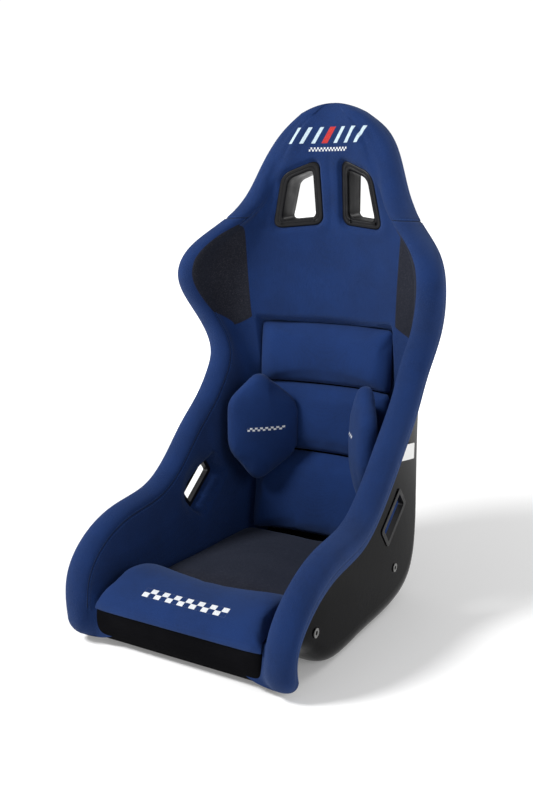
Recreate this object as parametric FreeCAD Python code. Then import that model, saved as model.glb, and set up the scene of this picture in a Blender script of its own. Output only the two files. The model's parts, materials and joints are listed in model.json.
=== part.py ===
import FreeCAD, Part
import math
import os

# Fixed-back racing seat, in millimetres. +Z is up and the sitter faces -Y.
# The origin lies on the flat underside, midway between the four side-mount holes.

Vector = FreeCAD.Vector

# driving dimensions
mount_pitch = 290.0            # front hole to rear hole on each side
mount_height = 83.0            # hole centres above the underside
mount_bore = 3.4               # radius of the tapped M8 holes
bush_radius = 5.5
bush_flange = 7.5
wall_outside = 206.0           # flat side walls, from the middle plane
shell_thickness = 5.0
cover_gap = 2.0                # between the shell and the foam glued to it
piece_gap = 0.5                # between neighbouring foam pieces
roll_radius = 24.0             # padded roll along the rim
rim_inset = 6.0                # middle of the roll, inside the rim's inner face
lap = 22.0                     # how far the cover hangs over the outside of the rim
least_rim = 8.0                # height of the shell's edge where the bucket is shallowest
sections_per_step = 4

# Cross-sections of the bucket, from the front sill along the seat and up the back to the crown.
# base: shell's inner face in the middle plane (y, z). ridge: top of the padded roll (y, z).
# foot, rim: half widths inside the shell. corner: rounding between floor and wall.
# pad: foam over the shell in the middle. hollow: crosswise curvature of that foam, per metre.
stations = [
    # name        base         ridge        foot rim corner pad hollow
    ("sill",      (-205, 16),  (-229, 25),  188, 190, 28,   3,  0.0),
    ("skirt",     (-206, 44),  (-233, 66),  194, 191, 30,   3,  0.0),
    ("lip",       (-198, 68),  (-218, 122), 200, 196, 34,   3,  0.0),
    ("ramp",      (-150, 50),  (-171, 170), 201, 200, 38,   3,  0.0),
    ("thigh",     (-85, 8),    (-98, 198),  201, 201, 36,   3,  0.0),
    ("pan",       (20, 4),     (-8, 212),   201, 201, 36,   3,  0.0),
    ("hip",       (130, 4),    (58, 254),   201, 201, 40,   3,  0.0),
    ("heel",      (240, 22),   (104, 300),  200, 201, 50,   3,  0.3),
    ("kidney",    (277, 110),  (152, 343),  196, 199, 60,   3,  0.7),
    ("waist",     (290, 240),  (192, 390),  190, 199, 66,   3,  1.1),
    ("ribs",      (305, 360),  (208, 436),  188, 204, 66,   10, 1.3),
    ("armpit",    (312, 450),  (192, 490),  190, 226, 64,   26, 1.4),
    ("wing",      (320, 540),  (160, 556),  190, 243, 62,   32, 1.7),
    ("shoulder",  (326, 610),  (178, 618),  170, 222, 54,   32, 2.1),
    ("neck",      (330, 675),  (228, 680),  130, 160, 44,   33, 2.6),
    ("head",      (326, 755),  (258, 756),  102, 123, 36,   42, 2.8),
    ("brow",      (316, 820),  (276, 820),  70,  88,  26,   36, 3.4),
    ("crown",     (304, 851),  (276, 851),  38,  51,  14,   20, 4.0),
]
where = {row[0]: index for index, row in enumerate(stations)}
crown_rise = 22.0              # padded dome over the crown

# headrest openings for the shoulder straps: corners (x, z) of the bezel's face
strap_corners = [(29, 768), (88, 741), (107, 651), (26, 659)]
strap_frame = 11.0
strap_rounding = 9.0
strap_face = (295.5, -0.34, -0.12)    # y at corner (26, 659), then its change with x and with z
strap_back = (338.5, -0.31, -0.05)
screw_places = (0.14, 0.86)           # along the bezel's bottom edge
flange_thickness = 6.0
sleeve_wall = 2.5

# side openings for the lap straps, slanting up towards the back
lap_centre = (134.0, 177.0)
lap_length, lap_width = 78.0, 30.0
lap_slant = 38.5
lap_frame = 8.0
lap_inner_face = 197.8
lap_hollow_middle = (104.0, -18.0, 20.0)    # x, then along and across the opening from its middle
lap_hollow_size = (84.0, 95.0, 80.0)        # half sizes: x, along, across

# opening for the crotch straps, through the pan
crotch_y = 10.0
crotch_length, crotch_width = 84.0, 26.0

# loose cushions
seat_half = 149.0
seat_rear = 211.0
seat_join = -74.0              # thigh cushion in front of this, seat cushion behind
base_foam_top = 33.5
back_half = 136.0
back_breaks = [84.0, 239.0, 371.5, 473.0]
back_face = [(84, 238), (160, 251), (240, 266), (372, 277), (473, 285)]    # (z, y) in the middle plane
back_hollow = 1.3e-3
strip_thickness = 1.2
strip_width = 25.0
strip_half = 95.0
pad_outline = [(8, 114), (67, 60), (67, -32), (14, -99), (-71, -42), (-69, 50)]
pad_thickness = 34.0
pad_middle_height = 273.0
pad_left = (86.0, 201.0, 48.0)        # face's middle (distance from the middle plane, y), turn inwards
pad_right = (100.0, 195.0, 57.0)
pad_seating = (262.0, -0.238, 0.12)   # plane at the back of both pads: y at (50, 273), dy/dx, dy/dz
pad_patch = (-28.0, -8.0, 45.0)       # fastener patch: from, to, half height


# sections

def make_spine():
    """One smooth curve for each column of the stations, all against the same steps."""
    rows = [row[1] + row[2] + row[3:] for row in stations]
    steps = [0.0]
    for before, after in zip(rows, rows[1:]):
        change = math.dist(before[:4], after[:4])
        steps.append(steps[-1] + math.sqrt(change))
    curves = []
    for column in zip(*rows):
        curve = Part.BSplineCurve()
        points = [Vector(value, step, 0) for value, step in zip(column, steps)]
        curve.interpolate(Points=points, Parameters=steps)
        curves.append(curve)
    return steps, curves


steps, spine = make_spine()


class Section:
    """The bucket's cross-section at a place along the spine, counted in stations."""

    def __init__(self, place):
        low = min(int(place), len(steps) - 2)
        step = steps[low] + (place - low) * (steps[low + 1] - steps[low])
        base_y, base_z, ridge_y, ridge_z, foot, rim, corner, pad, hollow = [
            curve.value(step).x for curve in spine]
        self.base = (base_y, base_z)
        self.depth = math.hypot(ridge_y - base_y, ridge_z - base_z)
        self.up = ((ridge_y - base_y) / self.depth, (ridge_z - base_z) / self.depth)
        self.foot = foot
        self.rim = rim
        self.corner = corner
        self.pad = pad
        self.hollow = hollow / 1000.0
        self.roll = min(roll_radius, 12 + 0.08 * rim)
        self.roll_x = rim - rim_inset
        self.roll_height = self.depth - self.roll
        excess = self.roll_height - least_rim
        self.rim_height = least_rim + 0.5 * (excess + math.hypot(excess, least_rim))

    def point(self, x, height):
        return Vector(x, self.base[0] + self.up[0] * height, self.base[1] + self.up[1] * height)

    def shell_side(self, offset):
        """The shell's right half, moved outwards by offset: curves from the middle to the rim."""
        foot = self.foot + offset
        rim = self.rim + offset
        flat_end = self.foot - self.corner
        end_height = self.shell_height(flat_end) - offset
        slope = 2 * end_slope(self.shell_height, flat_end)
        lean = (rim - foot) / (self.rim_height - end_height)
        corner_x = (foot - lean * slope * flat_end) / (1 - lean * slope)
        corner = (corner_x, end_height + slope * (corner_x - flat_end))
        across, along = rim - corner[0], self.rim_height - corner[1]
        share = 1 - math.exp(-(self.corner + offset) / math.hypot(across, along))
        wall_start = (corner[0] + across * share, corner[1] + along * share)
        floor = [(0, -offset), (flat_end / 2, -offset), (flat_end, end_height)]
        return [floor, [floor[-1], corner, wall_start], [wall_start, (rim, self.rim_height)]]

    def shell_height(self, x):
        return 0.9 * self.hollow * x * x

    def pad_height(self, x):
        return self.pad + self.hollow * x * x

    def foam_face(self, start=0.0):
        """The foam's face on the right half, from x = start up to the top of the roll.

        Where the bucket is deep the face climbs to the inner side of a round roll. Where it is
        shallow the foam in the middle is as high as the roll, and the face runs straight onto it.
        """
        flat_end = 0.65 * self.foot
        end_height = self.pad_height(flat_end)
        slope = 2 * end_slope(self.pad_height, flat_end)
        length = math.hypot(1, slope)
        inner = self.roll_x - self.roll
        room = min(max((self.roll_height - end_height + 10) / 30, 0), 1)
        steep = room * room * (3 - 2 * room)
        join_height = steep * self.roll_height + (1 - steep) * (0.4 * end_height + 0.6 * self.depth)
        angle = math.radians(10 + 80 * steep)
        along = (math.cos(angle), math.sin(angle))
        reach = 0.8 * (inner - flat_end)
        back = steep * 0.55 * abs(join_height - end_height) + (1 - steep) * 0.3 * (inner - flat_end)
        pull = 0.5523 * self.roll
        middle = ((start + flat_end) / 2, self.pad + self.hollow * start * flat_end)
        floor = [(start, self.pad_height(start)), middle, (flat_end, end_height)]
        flank = [
            floor[-1],
            (flat_end + reach / length, end_height + reach * slope / length),
            (inner - along[0] * back, join_height - along[1] * back),
            (inner, join_height),
        ]
        onto_roll = [
            flank[-1],
            (inner + along[0] * pull, join_height + along[1] * pull),
            (self.roll_x - pull, self.depth),
            (self.roll_x, self.depth),
        ]
        return [floor, flank, onto_roll]

    def roll_side(self):
        """From the top of the roll round its outer side, then down to the cover's edge."""
        pull = 0.5523 * self.roll
        outer = self.roll_x + self.roll
        low = self.roll_height
        return [
            [(self.roll_x, self.depth), (self.roll_x + pull, self.depth), (outer, low + pull), (outer, low)],
            [(outer, low), (outer - 3, low - lap)],
        ]

    def foam_back(self, start):
        """From the cover's edge over the shell's rim and down its inside to x = start."""
        outer = self.rim + shell_thickness + cover_gap
        over = self.rim_height + cover_gap
        edge = (self.roll_x + self.roll - 3, self.roll_height - lap)
        floor, corner, wall = self.shell_side(-cover_gap)
        wall_top = (wall[1][0], over)
        floor_start = (start, cover_gap + self.shell_height(start))
        middle = ((start + floor[-1][0]) / 2, cover_gap + 0.9 * self.hollow * start * floor[-1][0])
        return [
            [edge, (outer, edge[1])],
            [(outer, edge[1]), (outer, over)],
            [(outer, over), wall_top],
            [wall_top, wall[0]],
            corner[::-1],
            [floor[-1], middle, floor_start],
        ]

    def wire(self, curves):
        """A closed wire through the section, from curves given by their (x, height) control points."""
        edges = []
        ends = [curves[-1][-1], curves[0][0]]
        closing = [ends] if math.dist(*ends) > 0.001 else []
        for curve in curves + closing:
            bezier = Part.BezierCurve()
            bezier.setPoles([self.point(x, height) for x, height in curve])
            edges.append(bezier.toShape())
        return Part.Wire(edges)


def end_slope(height_at, x):
    """Rise from the middle to x, divided by x."""
    return (height_at(x) - height_at(0)) / x


def mirrored(curves):
    """The same curves on the left half, in the opposite order."""
    return [[(-x, height) for x, height in reversed(curve)] for curve in reversed(curves)]


def sections_between(first, last):
    """Sections from place first to place last, at the same places in every piece."""
    count = sections_per_step
    inner = [n / count for n in range(len(stations) * count) if first + 0.05 < n / count < last - 0.05]
    return [Section(place) for place in [first] + inner + [last]]


def loft(wires):
    solid = Part.makeLoft(wires, True, False, False)
    if solid.Volume < 0:
        solid.reverse()
    return solid


def mirror_left(solid):
    return solid.mirror(Vector(0, 0, 0), Vector(1, 0, 0))


# flat outlines

def grown(points, distance):
    """The outline of a convex polygon, given clockwise or not, with every side moved outwards."""
    middle_u = sum(u for u, v in points) / len(points)
    middle_v = sum(v for u, v in points) / len(points)
    lines = []
    for (u0, v0), (u1, v1) in zip(points, points[1:] + points[:1]):
        length = math.hypot(u1 - u0, v1 - v0)
        normal = ((v1 - v0) / length, (u0 - u1) / length)
        reach = normal[0] * u0 + normal[1] * v0
        if normal[0] * middle_u + normal[1] * middle_v > reach:
            normal, reach = (-normal[0], -normal[1]), -reach
        lines.append((normal, reach + distance))
    corners = []
    for (first, reach_1), (second, reach_2) in zip(lines[-1:] + lines[:-1], lines):
        cross = first[0] * second[1] - first[1] * second[0]
        corners.append(((reach_1 * second[1] - reach_2 * first[1]) / cross,
                        (reach_2 * first[0] - reach_1 * second[0]) / cross))
    return corners


def rounded_face(points, rounding, place):
    """A flat face inside a polygon with rounded corners; place turns (u, v) into a point."""
    arcs = []
    count = len(points)
    for index, corner in enumerate(points):
        before, after = points[index - 1], points[(index + 1) % count]
        ways = []
        for other in (before, after):
            length = math.dist(corner, other)
            ways.append(((other[0] - corner[0]) / length, (other[1] - corner[1]) / length))
        half = 0.5 * math.acos(ways[0][0] * ways[1][0] + ways[0][1] * ways[1][1])
        run = rounding / math.tan(half)
        inwards = (ways[0][0] + ways[1][0], ways[0][1] + ways[1][1])
        depth = (rounding / math.sin(half) - rounding) / math.hypot(*inwards)
        marks = [(corner[0] + way[0] * run, corner[1] + way[1] * run) for way in ways]
        top = (corner[0] + inwards[0] * depth, corner[1] + inwards[1] * depth)
        arcs.append([place(*mark) for mark in (marks[0], top, marks[1])])
    edges = []
    for arc, following in zip(arcs, arcs[1:] + arcs[:1]):
        edges.append(Part.Arc(*arc).toShape())
        edges.append(Part.LineSegment(arc[2], following[0]).toShape())
    return Part.Face(Part.Wire(edges))


def plate(points, rounding, place, thickness):
    return rounded_face(points, rounding, place).extrude(thickness)


def sloping(plane, origin, shift=0.0):
    """Places an outline in (x, z) on a plane y = plane[0] + plane[1]*dx + plane[2]*dz."""
    def place(x, z):
        return Vector(x, plane[0] + plane[1] * (x - origin[0]) + plane[2] * (z - origin[1]) + shift, z)
    return place


def box(low, high):
    return Part.makeBox(*[b - a for a, b in zip(low, high)], Vector(*low))


# shell

def shell_wire(section):
    """Closed band: the outside from left rim to right rim, then back along the inside."""
    outside = section.shell_side(shell_thickness)
    inside = section.shell_side(0.0)
    right_in = [curve[::-1] for curve in reversed(inside)]
    left_in = [curve[::-1] for curve in reversed(mirrored(inside))]
    rim = [[outside[-1][-1], inside[-1][-1]]]
    return section.wire(mirrored(outside) + outside + rim + right_in + left_in)


def make_shell():
    """Glass-fibre bucket with a flat underside and openings for straps and mounting bushes."""
    body = loft([shell_wire(section) for section in sections_between(0, where["crown"])])
    cutters = [box((-300, -450, -50), (300, 450, 0)), crotch_cutter(0.3)]
    for side in (1, -1):
        cutters += [strap_cutter(side, 0.5), lap_cutter(side, 0.5)]
        for y in (-mount_pitch / 2, mount_pitch / 2):
            cutters.append(Part.makeCylinder(bush_radius + 0.1, 60, Vector(side * 170, y, mount_height),
                                             Vector(side, 0, 0)))
    return body.cut(cutters)


# foam glued to the shell

def foam_length(first, last, start_share):
    """Foam on the right half of the bucket between two places, from a share of the middle part out."""
    wires = []
    for section in sections_between(first, last):
        start = start_share * 0.65 * section.foot
        curves = section.foam_face(start) + section.roll_side() + section.foam_back(start)
        wires.append(section.wire(curves))
    return loft(wires)


def foam_middle(first, last, end_share):
    """Foam in the middle of the bucket between two places, out to a share of the middle part."""
    wires = []
    for section in sections_between(first, last):
        end = end_share * 0.65 * section.foot
        face = [(-end, section.pad_height(end)), (0, 2 * section.pad - section.pad_height(end)),
                (end, section.pad_height(end))]
        low = cover_gap + section.shell_height(end)
        back = [(end, low), (0, 2 * cover_gap - low), (-end, low)]
        wires.append(section.wire([face, [face[-1], back[0]], back]))
    return loft(wires)


def make_thigh_bolster():
    foam = foam_length(0, where["hip"] - 0.01, 0.85)
    cushion = make_thigh_cushion(1.0)
    cushion.translate(Vector(0, 0.6, -0.6))
    return foam.cut([mount_pocket(1), cushion, lap_hollow()])


def make_hip_bolster():
    foam = foam_length(where["hip"] + 0.01, where["armpit"] - 0.01, 0.85)
    cushions = box((0, -400, back_breaks[0] - 40), (back_half + 2, 400, back_breaks[-1] + 4))
    return foam.cut([cushions, lap_flange_cutter(), lap_hollow(), mount_pocket(1)])


def make_wing_bolster():
    foam = foam_length(where["armpit"] + 0.01, where["neck"] - 0.01, 0.85)
    cushions = box((0, -400, 300), (back_half + 2, 400, back_breaks[-1] + 4))
    return foam.cut([cushions] + strap_cutters())


def make_upper_back_pad():
    foam = foam_middle(where["armpit"] - 0.6, where["neck"] - 0.01, 0.84)
    below = box((-300, 0, 0), (300, 500, back_breaks[-1] + 5))
    return foam.cut([below] + strap_cutters())


def make_headrest_pad():
    """Foam over the whole width of the head, with room for the strap bezels."""
    wires = []
    for section in sections_between(where["neck"] + 0.01, where["crown"] - 0.01):
        face, side, back = section.foam_face(), section.roll_side(), section.foam_back(0)
        wires.append(section.wire(mirrored(face) + face + side + back + mirrored(back) + mirrored(side)))
    return loft(wires).cut(strap_cutters())


def make_crown_pad():
    """Low dome that closes the headrest over the end of the shell."""
    section = Section(where["crown"])
    half_width = section.roll_x + section.roll
    front = section.point(0, section.depth)
    back = section.point(0, -shell_thickness - 6)
    dome = Part.makeSphere(1.0, Vector(0, 0, 0), Vector(0, 0, 1), 0, 90, 360)
    shape = FreeCAD.Matrix()
    shape.scale(half_width, (back.y - front.y) / 2, crown_rise)
    shape.move(Vector(0, (back.y + front.y) / 2, front.z + piece_gap))
    return dome.transformGeometry(shape)


def make_front_band():
    """Black padded band over the shell's front edge, under the thigh cushion."""
    wires = []
    for section in sections_between(0, 1.25):
        end = 0.84 * 0.65 * section.foot
        face = [(-end, 12), (0, 14), (end, 12)]
        back = [(end, cover_gap), (0, cover_gap), (-end, cover_gap)]
        wires.append(section.wire([face, [face[-1], back[0]], back]))
    return loft(wires)


def make_seat_base_foam():
    """Firm foam block between the pan and the seat cushion, with room for the crotch strap."""
    wires = []
    for section in sections_between(3.6, 6.9):
        end = 0.95 * 0.65 * section.foot
        low, high = section.pad_height(end) + piece_gap, section.pad + 60
        outline = [(-end, low), (end, low), (end, high), (-end, high)]
        wires.append(section.wire([[a, b] for a, b in zip(outline, outline[1:])]))
    above = box((-300, -400, base_foam_top), (300, 400, 200))
    behind = box((-300, seat_rear, -50), (300, 400, 200))
    return loft(wires).cut([above, behind, crotch_cutter(3.0)])


def make_grip_panel():
    """Thin rubberised panel on the foam inside the shoulder wing."""
    wires = []
    for section in sections_between(where["armpit"] + 0.25, where["shoulder"] + 0.7):
        flank = section.foam_face()[1]
        near, far = [split_from(lifted(flank, lift), 0.25) for lift in (0.6, 2.2)]
        wires.append(section.wire([near, [near[-1], far[-1]], far[::-1]]))
    return loft(wires)


def lifted(flank, lift):
    """A flank's control points moved off the foam by lift."""
    moved = []
    for index, (x, height) in enumerate(flank):
        a, b = (flank[0], flank[1]) if index < 2 else (flank[2], flank[3])
        length = math.dist(a, b)
        moved.append((x - (b[1] - a[1]) / length * lift, height + (b[0] - a[0]) / length * lift))
    return moved


def split_from(curve, start):
    """Control points of the part of a Bezier curve after start."""
    kept = []
    points = list(curve)
    while points:
        kept.append(points[-1])
        points = [(a[0] + (b[0] - a[0]) * start, a[1] + (b[1] - a[1]) * start)
                  for a, b in zip(points, points[1:])]
    return kept[::-1]


# strap openings

def strap_window():
    return grown(strap_corners, -strap_frame)


def on_side(shape, side):
    return shape if side > 0 else mirror_left(shape)


def strap_cutter(side, clearance):
    """The room that a sleeve and its window take through foam and shell."""
    def place(x, z):
        return Vector(x, 150, z)
    outline = grown(strap_window(), sleeve_wall + clearance)
    return on_side(plate(outline, strap_rounding - 2, place, Vector(0, 300, 0)), side)


def strap_cutters():
    """Room in the right half's foam for the sleeve and for the bezel's face."""
    place = sloping(strap_face, strap_corners[3], flange_thickness + 0.5)
    face = plate(grown(strap_corners, 0.6), strap_rounding, place, Vector(0, -120, 0))
    cutters = [strap_cutter(1, 0.5), face]
    return cutters + [mirror_left(cutter) for cutter in cutters]


def make_strap_bezel_front():
    """Face ring with a sleeve that runs back through foam and shell."""
    origin = strap_corners[3]
    window = strap_window()
    face = plate(strap_corners, strap_rounding, sloping(strap_face, origin), Vector(0, flange_thickness, 0))
    sleeve = plate(grown(window, sleeve_wall), strap_rounding - 2, sloping(strap_face, origin, 1),
                   Vector(0, 100, 0))
    behind = plate(grown(strap_corners, 40), strap_rounding, sloping(strap_back, origin), Vector(0, 150, 0))
    hole = plate(window, strap_rounding - 4, sloping(strap_face, origin, -20), Vector(0, 200, 0))
    return face.fuse(sleeve).cut([behind, hole] + screw_holes()).removeSplitter()


def make_strap_bezel_rear():
    origin = strap_corners[3]
    window = strap_window()
    ring = plate(grown(window, 9), strap_rounding, sloping(strap_back, origin), Vector(0, 4, 0))
    hole = plate(window, strap_rounding - 4, sloping(strap_back, origin, -20), Vector(0, 60, 0))
    return ring.cut(hole)


def lap_outline(grow):
    """The lap opening's outline in (y, z)."""
    angle = math.radians(lap_slant)
    long_half, short_half = lap_length / 2 + grow, lap_width / 2 + grow
    corners = [(-1, -1), (1, -1), (1, 1), (-1, 1)]
    outline = []
    for a, b in corners:
        along, across = a * long_half, b * short_half
        outline.append((lap_centre[0] + along * math.cos(angle) - across * math.sin(angle),
                        lap_centre[1] + along * math.sin(angle) + across * math.cos(angle)))
    return outline


def lap_plate(grow, rounding, low, high):
    """A slanted plate beside the right wall, between two values of x."""
    def place(y, z):
        return Vector(low, y, z)
    return plate(lap_outline(grow), rounding, place, Vector(high - low, 0, 0))


def lap_cutter(side, clearance):
    return on_side(lap_plate(sleeve_wall + clearance, 5, 120, 260), side)


def lap_flange_cutter():
    return lap_plate(lap_frame + 0.6, 7, 100, 260)


def lap_hollow():
    """Room scooped out of the foam round the lap opening: an ellipsoid turned with the opening."""
    angle = math.radians(lap_slant)
    x, along, across = lap_hollow_middle
    shape = FreeCAD.Matrix()
    shape.scale(*lap_hollow_size)
    shape.rotateX(angle)
    shape.move(Vector(x, lap_centre[0] + along * math.cos(angle) - across * math.sin(angle),
                      lap_centre[1] + along * math.sin(angle) + across * math.cos(angle)))
    return Part.makeSphere(1.0).transformGeometry(shape)


def make_lap_bezel_inner():
    """Face ring on the shell's inside, with a sleeve out to the shell's outer face."""
    face = lap_plate(lap_frame, 7, lap_inner_face, lap_inner_face + 2)
    sleeve = lap_plate(sleeve_wall, 5, lap_inner_face + 1, wall_outside + 0.4)
    hole = lap_plate(0, 3, 100, 260)
    return face.fuse(sleeve).cut(hole).removeSplitter()


def make_lap_bezel_outer():
    ring = lap_plate(lap_frame, 7, wall_outside + 0.6, wall_outside + 1.8)
    return ring.cut(lap_plate(0, 3, 100, 260))


def crotch_outline(grow):
    half_x, half_y = crotch_length / 2 + grow, crotch_width / 2 + grow
    return [(-half_x, crotch_y - half_y), (half_x, crotch_y - half_y),
            (half_x, crotch_y + half_y), (-half_x, crotch_y + half_y)]


def crotch_plate(grow, low, high):
    def place(x, y):
        return Vector(x, y, low)
    return plate(crotch_outline(grow), 6, place, Vector(0, 0, high - low))


def crotch_cutter(clearance):
    return crotch_plate(sleeve_wall + clearance, -40, 80)


def make_crotch_bezel():
    """Flanged sleeve through the pan; its top ring lies on the shell, in the base foam's opening."""
    sleeve = crotch_plate(sleeve_wall, 0.6, 7.5)
    ring = crotch_plate(sleeve_wall + 2.3, 4.8, 7.5)
    return sleeve.fuse(ring).cut(crotch_plate(0, -10, 30)).removeSplitter()


def screw_seat(fraction):
    """A point on the strap bezel's face, along its bottom edge, and the way out of the face."""
    (x0, z0), (x1, z1) = strap_corners[3], strap_corners[2]
    x, z = x0 + fraction * (x1 - x0), z0 + fraction * (z1 - z0) + strap_frame / 2
    outwards = Vector(strap_face[1], -1, strap_face[2]).normalize()
    return sloping(strap_face, strap_corners[3])(x, z), outwards


def screw_holes():
    return [Part.makeCylinder(1.7, 30, point - outwards * 20, outwards)
            for point, outwards in map(screw_seat, screw_places)]


def make_bezel_screws():
    """Pan-head screws along the bottom of a strap bezel."""
    screws = []
    for point, outwards in map(screw_seat, screw_places):
        head = Part.makeCylinder(3.0, 1.5, point + outwards * 0.1, outwards)
        shank = Part.makeCylinder(1.4, 5.5, point - outwards * 5.4, outwards)
        socket = Part.makeCylinder(1.2, 1.0, point + outwards * 0.7, outwards)
        screws.append(head.fuse(shank).cut(socket).removeSplitter())
    return Part.makeCompound(screws)


# steel in the side walls

def make_mount_plate():
    """Backing plate behind the right side wall, with a hole for each bush."""
    def place(y, z):
        return Vector(196, y, z)
    outline = [(-160, 78), (-160, 100), (166, 102), (166, 64), (-110, 64)]
    holes = [Part.makeCylinder(bush_radius + 0.1, 20, Vector(190, y, mount_height), Vector(1, 0, 0))
             for y in (-mount_pitch / 2, mount_pitch / 2)]
    return plate(outline, 6, place, Vector(3, 0, 0)).cut(holes)


def mount_pocket(side):
    """Room in the foam for the plate, the bushes and the ends of the bolts."""
    pocket = box((194.5, -166, 58), (230, 172, 107))
    bolts = [Part.makeCylinder(9, 45, Vector(178, y, mount_height), Vector(1, 0, 0))
             for y in (-mount_pitch / 2, mount_pitch / 2)]
    inside_only = box((0, -400, 0), (wall_outside - 1, 400, 200))
    return on_side(pocket.fuse(bolts).common(inside_only), side)


def make_mount_bushes():
    """Two flanged bushes, tapped M8, that reach from the plate to the wall's outer face."""
    bushes = []
    for y in (-mount_pitch / 2, mount_pitch / 2):
        flange = Part.makeCylinder(bush_flange, 1.2, Vector(wall_outside + 0.6, y, mount_height), Vector(1, 0, 0))
        barrel = Part.makeCylinder(bush_radius, 11.4, Vector(195.5, y, mount_height), Vector(1, 0, 0))
        bore = Part.makeCylinder(mount_bore, 60, Vector(180, y, mount_height), Vector(1, 0, 0))
        bushes.append(flange.fuse(barrel).cut(bore).removeSplitter())
    return Part.makeCompound(bushes)


# loose cushions

def extruded(outline, half_width):
    """A side outline in (y, z), made of runs of points that are lines (2) or curves (more)."""
    edges = []
    for run in outline:
        points = [Vector(-half_width, y, z) for y, z in run]
        if len(points) == 2:
            edges.append(Part.LineSegment(*points).toShape())
        else:
            curve = Part.BSplineCurve()
            curve.interpolate(Points=points)
            edges.append(curve.toShape())
    return Part.Face(Part.Wire(edges)).extrude(Vector(2 * half_width, 0, 0))


def make_seat_cushion():
    low = base_foam_top + piece_gap + 2 * strip_thickness + 0.6
    rear, front = seat_rear, seat_join + piece_gap
    top = [(front, 85), (60, 80), (rear - 8, 76), (rear, 68)]
    return extruded([[(rear, low), (front, low)], [(front, low), top[0]], top, [top[-1], (rear, low)]],
                    seat_half)


def make_thigh_cushion(wider=0.0):
    """Crowned cushion over the front lip, hanging down to the black band."""
    low = base_foam_top + piece_gap + 2 * strip_thickness + 0.6
    under = [Section(place).point(0, 6.5) for place in (1.45, 1.75, 2.0, 2.5, 3.0, 3.4)]
    under = [(point.y, point.z) for point in under]
    under.append((-100.0, low))
    top = [(-219, 66), (-221, 76), (-205, 93), (-140, 104), (seat_join, 86)]
    return extruded([under, [under[-1], (seat_join, low)], [(seat_join, low), top[-1]],
                     top[::-1], [top[0], under[0]]], seat_half - 2 + wider)


def shell_face(x, z):
    """y of the shell's inner face at a point of the back."""
    low, high = where["hip"] + 0.5, where["neck"] + 0.0
    for _ in range(40):
        middle = (low + high) / 2
        section = Section(middle)
        if section.point(x, section.shell_height(x)).z < z:
            low = middle
        else:
            high = middle
    return section.point(x, section.shell_height(x)).y


def back_slab(low, high, half_width, back_clearance, front):
    """A slab in front of the back of the shell between two heights; front(x, z) is its face."""
    wires = []
    for z in (low, (low + high) / 2, high):
        across = [half_width * n / 3 for n in range(-3, 4)]
        back = Part.BSplineCurve()
        back.interpolate(Points=[Vector(x, shell_face(x, z) - back_clearance, z) for x in across])
        face = Part.BSplineCurve()
        face.interpolate(Points=[Vector(x, front(x, z), z) for x in reversed(across)])
        ends = [(back.EndPoint, face.StartPoint), (face.EndPoint, back.StartPoint)]
        sides = [Part.LineSegment(*pair).toShape() for pair in ends]
        wires.append(Part.Wire([back.toShape(), sides[0], face.toShape(), sides[1]]))
    return loft(wires)


def back_cushion_face(x, z):
    points = back_face
    for (z0, y0), (z1, y1) in zip(points, points[1:]):
        if z <= z1 or z1 == points[-1][0]:
            break
    return y0 + (y1 - y0) * (z - z0) / (z1 - z0) - back_hollow * x * x


def make_lumbar_cushion(low, high):
    return back_slab(low, high, back_half, 2 * strip_thickness + 1.2, back_cushion_face)


def back_strips(near):
    """One strip behind each back cushion, near away from the shell."""
    strips = []
    for low, high in zip(back_breaks, back_breaks[1:]):
        middle = (low + high) / 2

        def front(x, z):
            return shell_face(x, z) - near - strip_thickness
        strips.append(back_slab(middle - strip_width / 2, middle + strip_width / 2, strip_half, near, front))
    return Part.makeCompound(strips)


def seat_strips(low):
    """Two strips across, under the seat cushion."""
    strips = []
    for y in (-30.0, 140.0):
        strips.append(box((-strip_half, y, low), (strip_half, y + strip_width, low + strip_thickness)))
    return Part.makeCompound(strips)


def pad_slab(thickness):
    """Everything in front of (negative) or behind the plane that the side pads sit on."""
    origin = (50, pad_middle_height)
    outline = [(-60, 100), (260, 100), (260, 460), (-60, 460)]
    return plate(outline, 5, sloping(pad_seating, origin), Vector(0, thickness, 0))


def make_side_pad(setting):
    """Six-sided pad, as for the right side, turned inwards and cut flat where it sits on the back."""
    x, y, turn = setting
    along = (math.cos(math.radians(turn)), -math.sin(math.radians(turn)))

    def place(u, v):
        return Vector(x + along[0] * u, y + along[1] * u, pad_middle_height + v)
    slab = plate(pad_outline, 18, place, Vector(-along[1], along[0], 0) * pad_thickness)
    return slab.cut([pad_slab(120), pad_patch_plate(setting, 0.6, -2.6, 4)])


def pad_patch_plate(setting, wider, shift, thickness):
    """A patch behind a side pad, parallel to the plane that the pad sits on."""
    low, high, half = pad_patch
    x0, x1 = setting[0] + low - wider, setting[0] + high + wider
    z0, z1 = pad_middle_height - half - wider, pad_middle_height + half + wider
    outline = [(x0, z0), (x1, z0), (x1, z1), (x0, z1)]
    return plate(outline, 4, sloping(pad_seating, (50, pad_middle_height), shift), Vector(0, thickness, 0))


def make_blank_label():
    def place(y, z):
        return Vector(wall_outside + 0.1, y, z)
    outline = [(172, 294), (217, 288), (217, 260), (154, 269)]
    return plate(outline, 2, place, Vector(0.4, 0, 0))


# assembly

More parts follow.
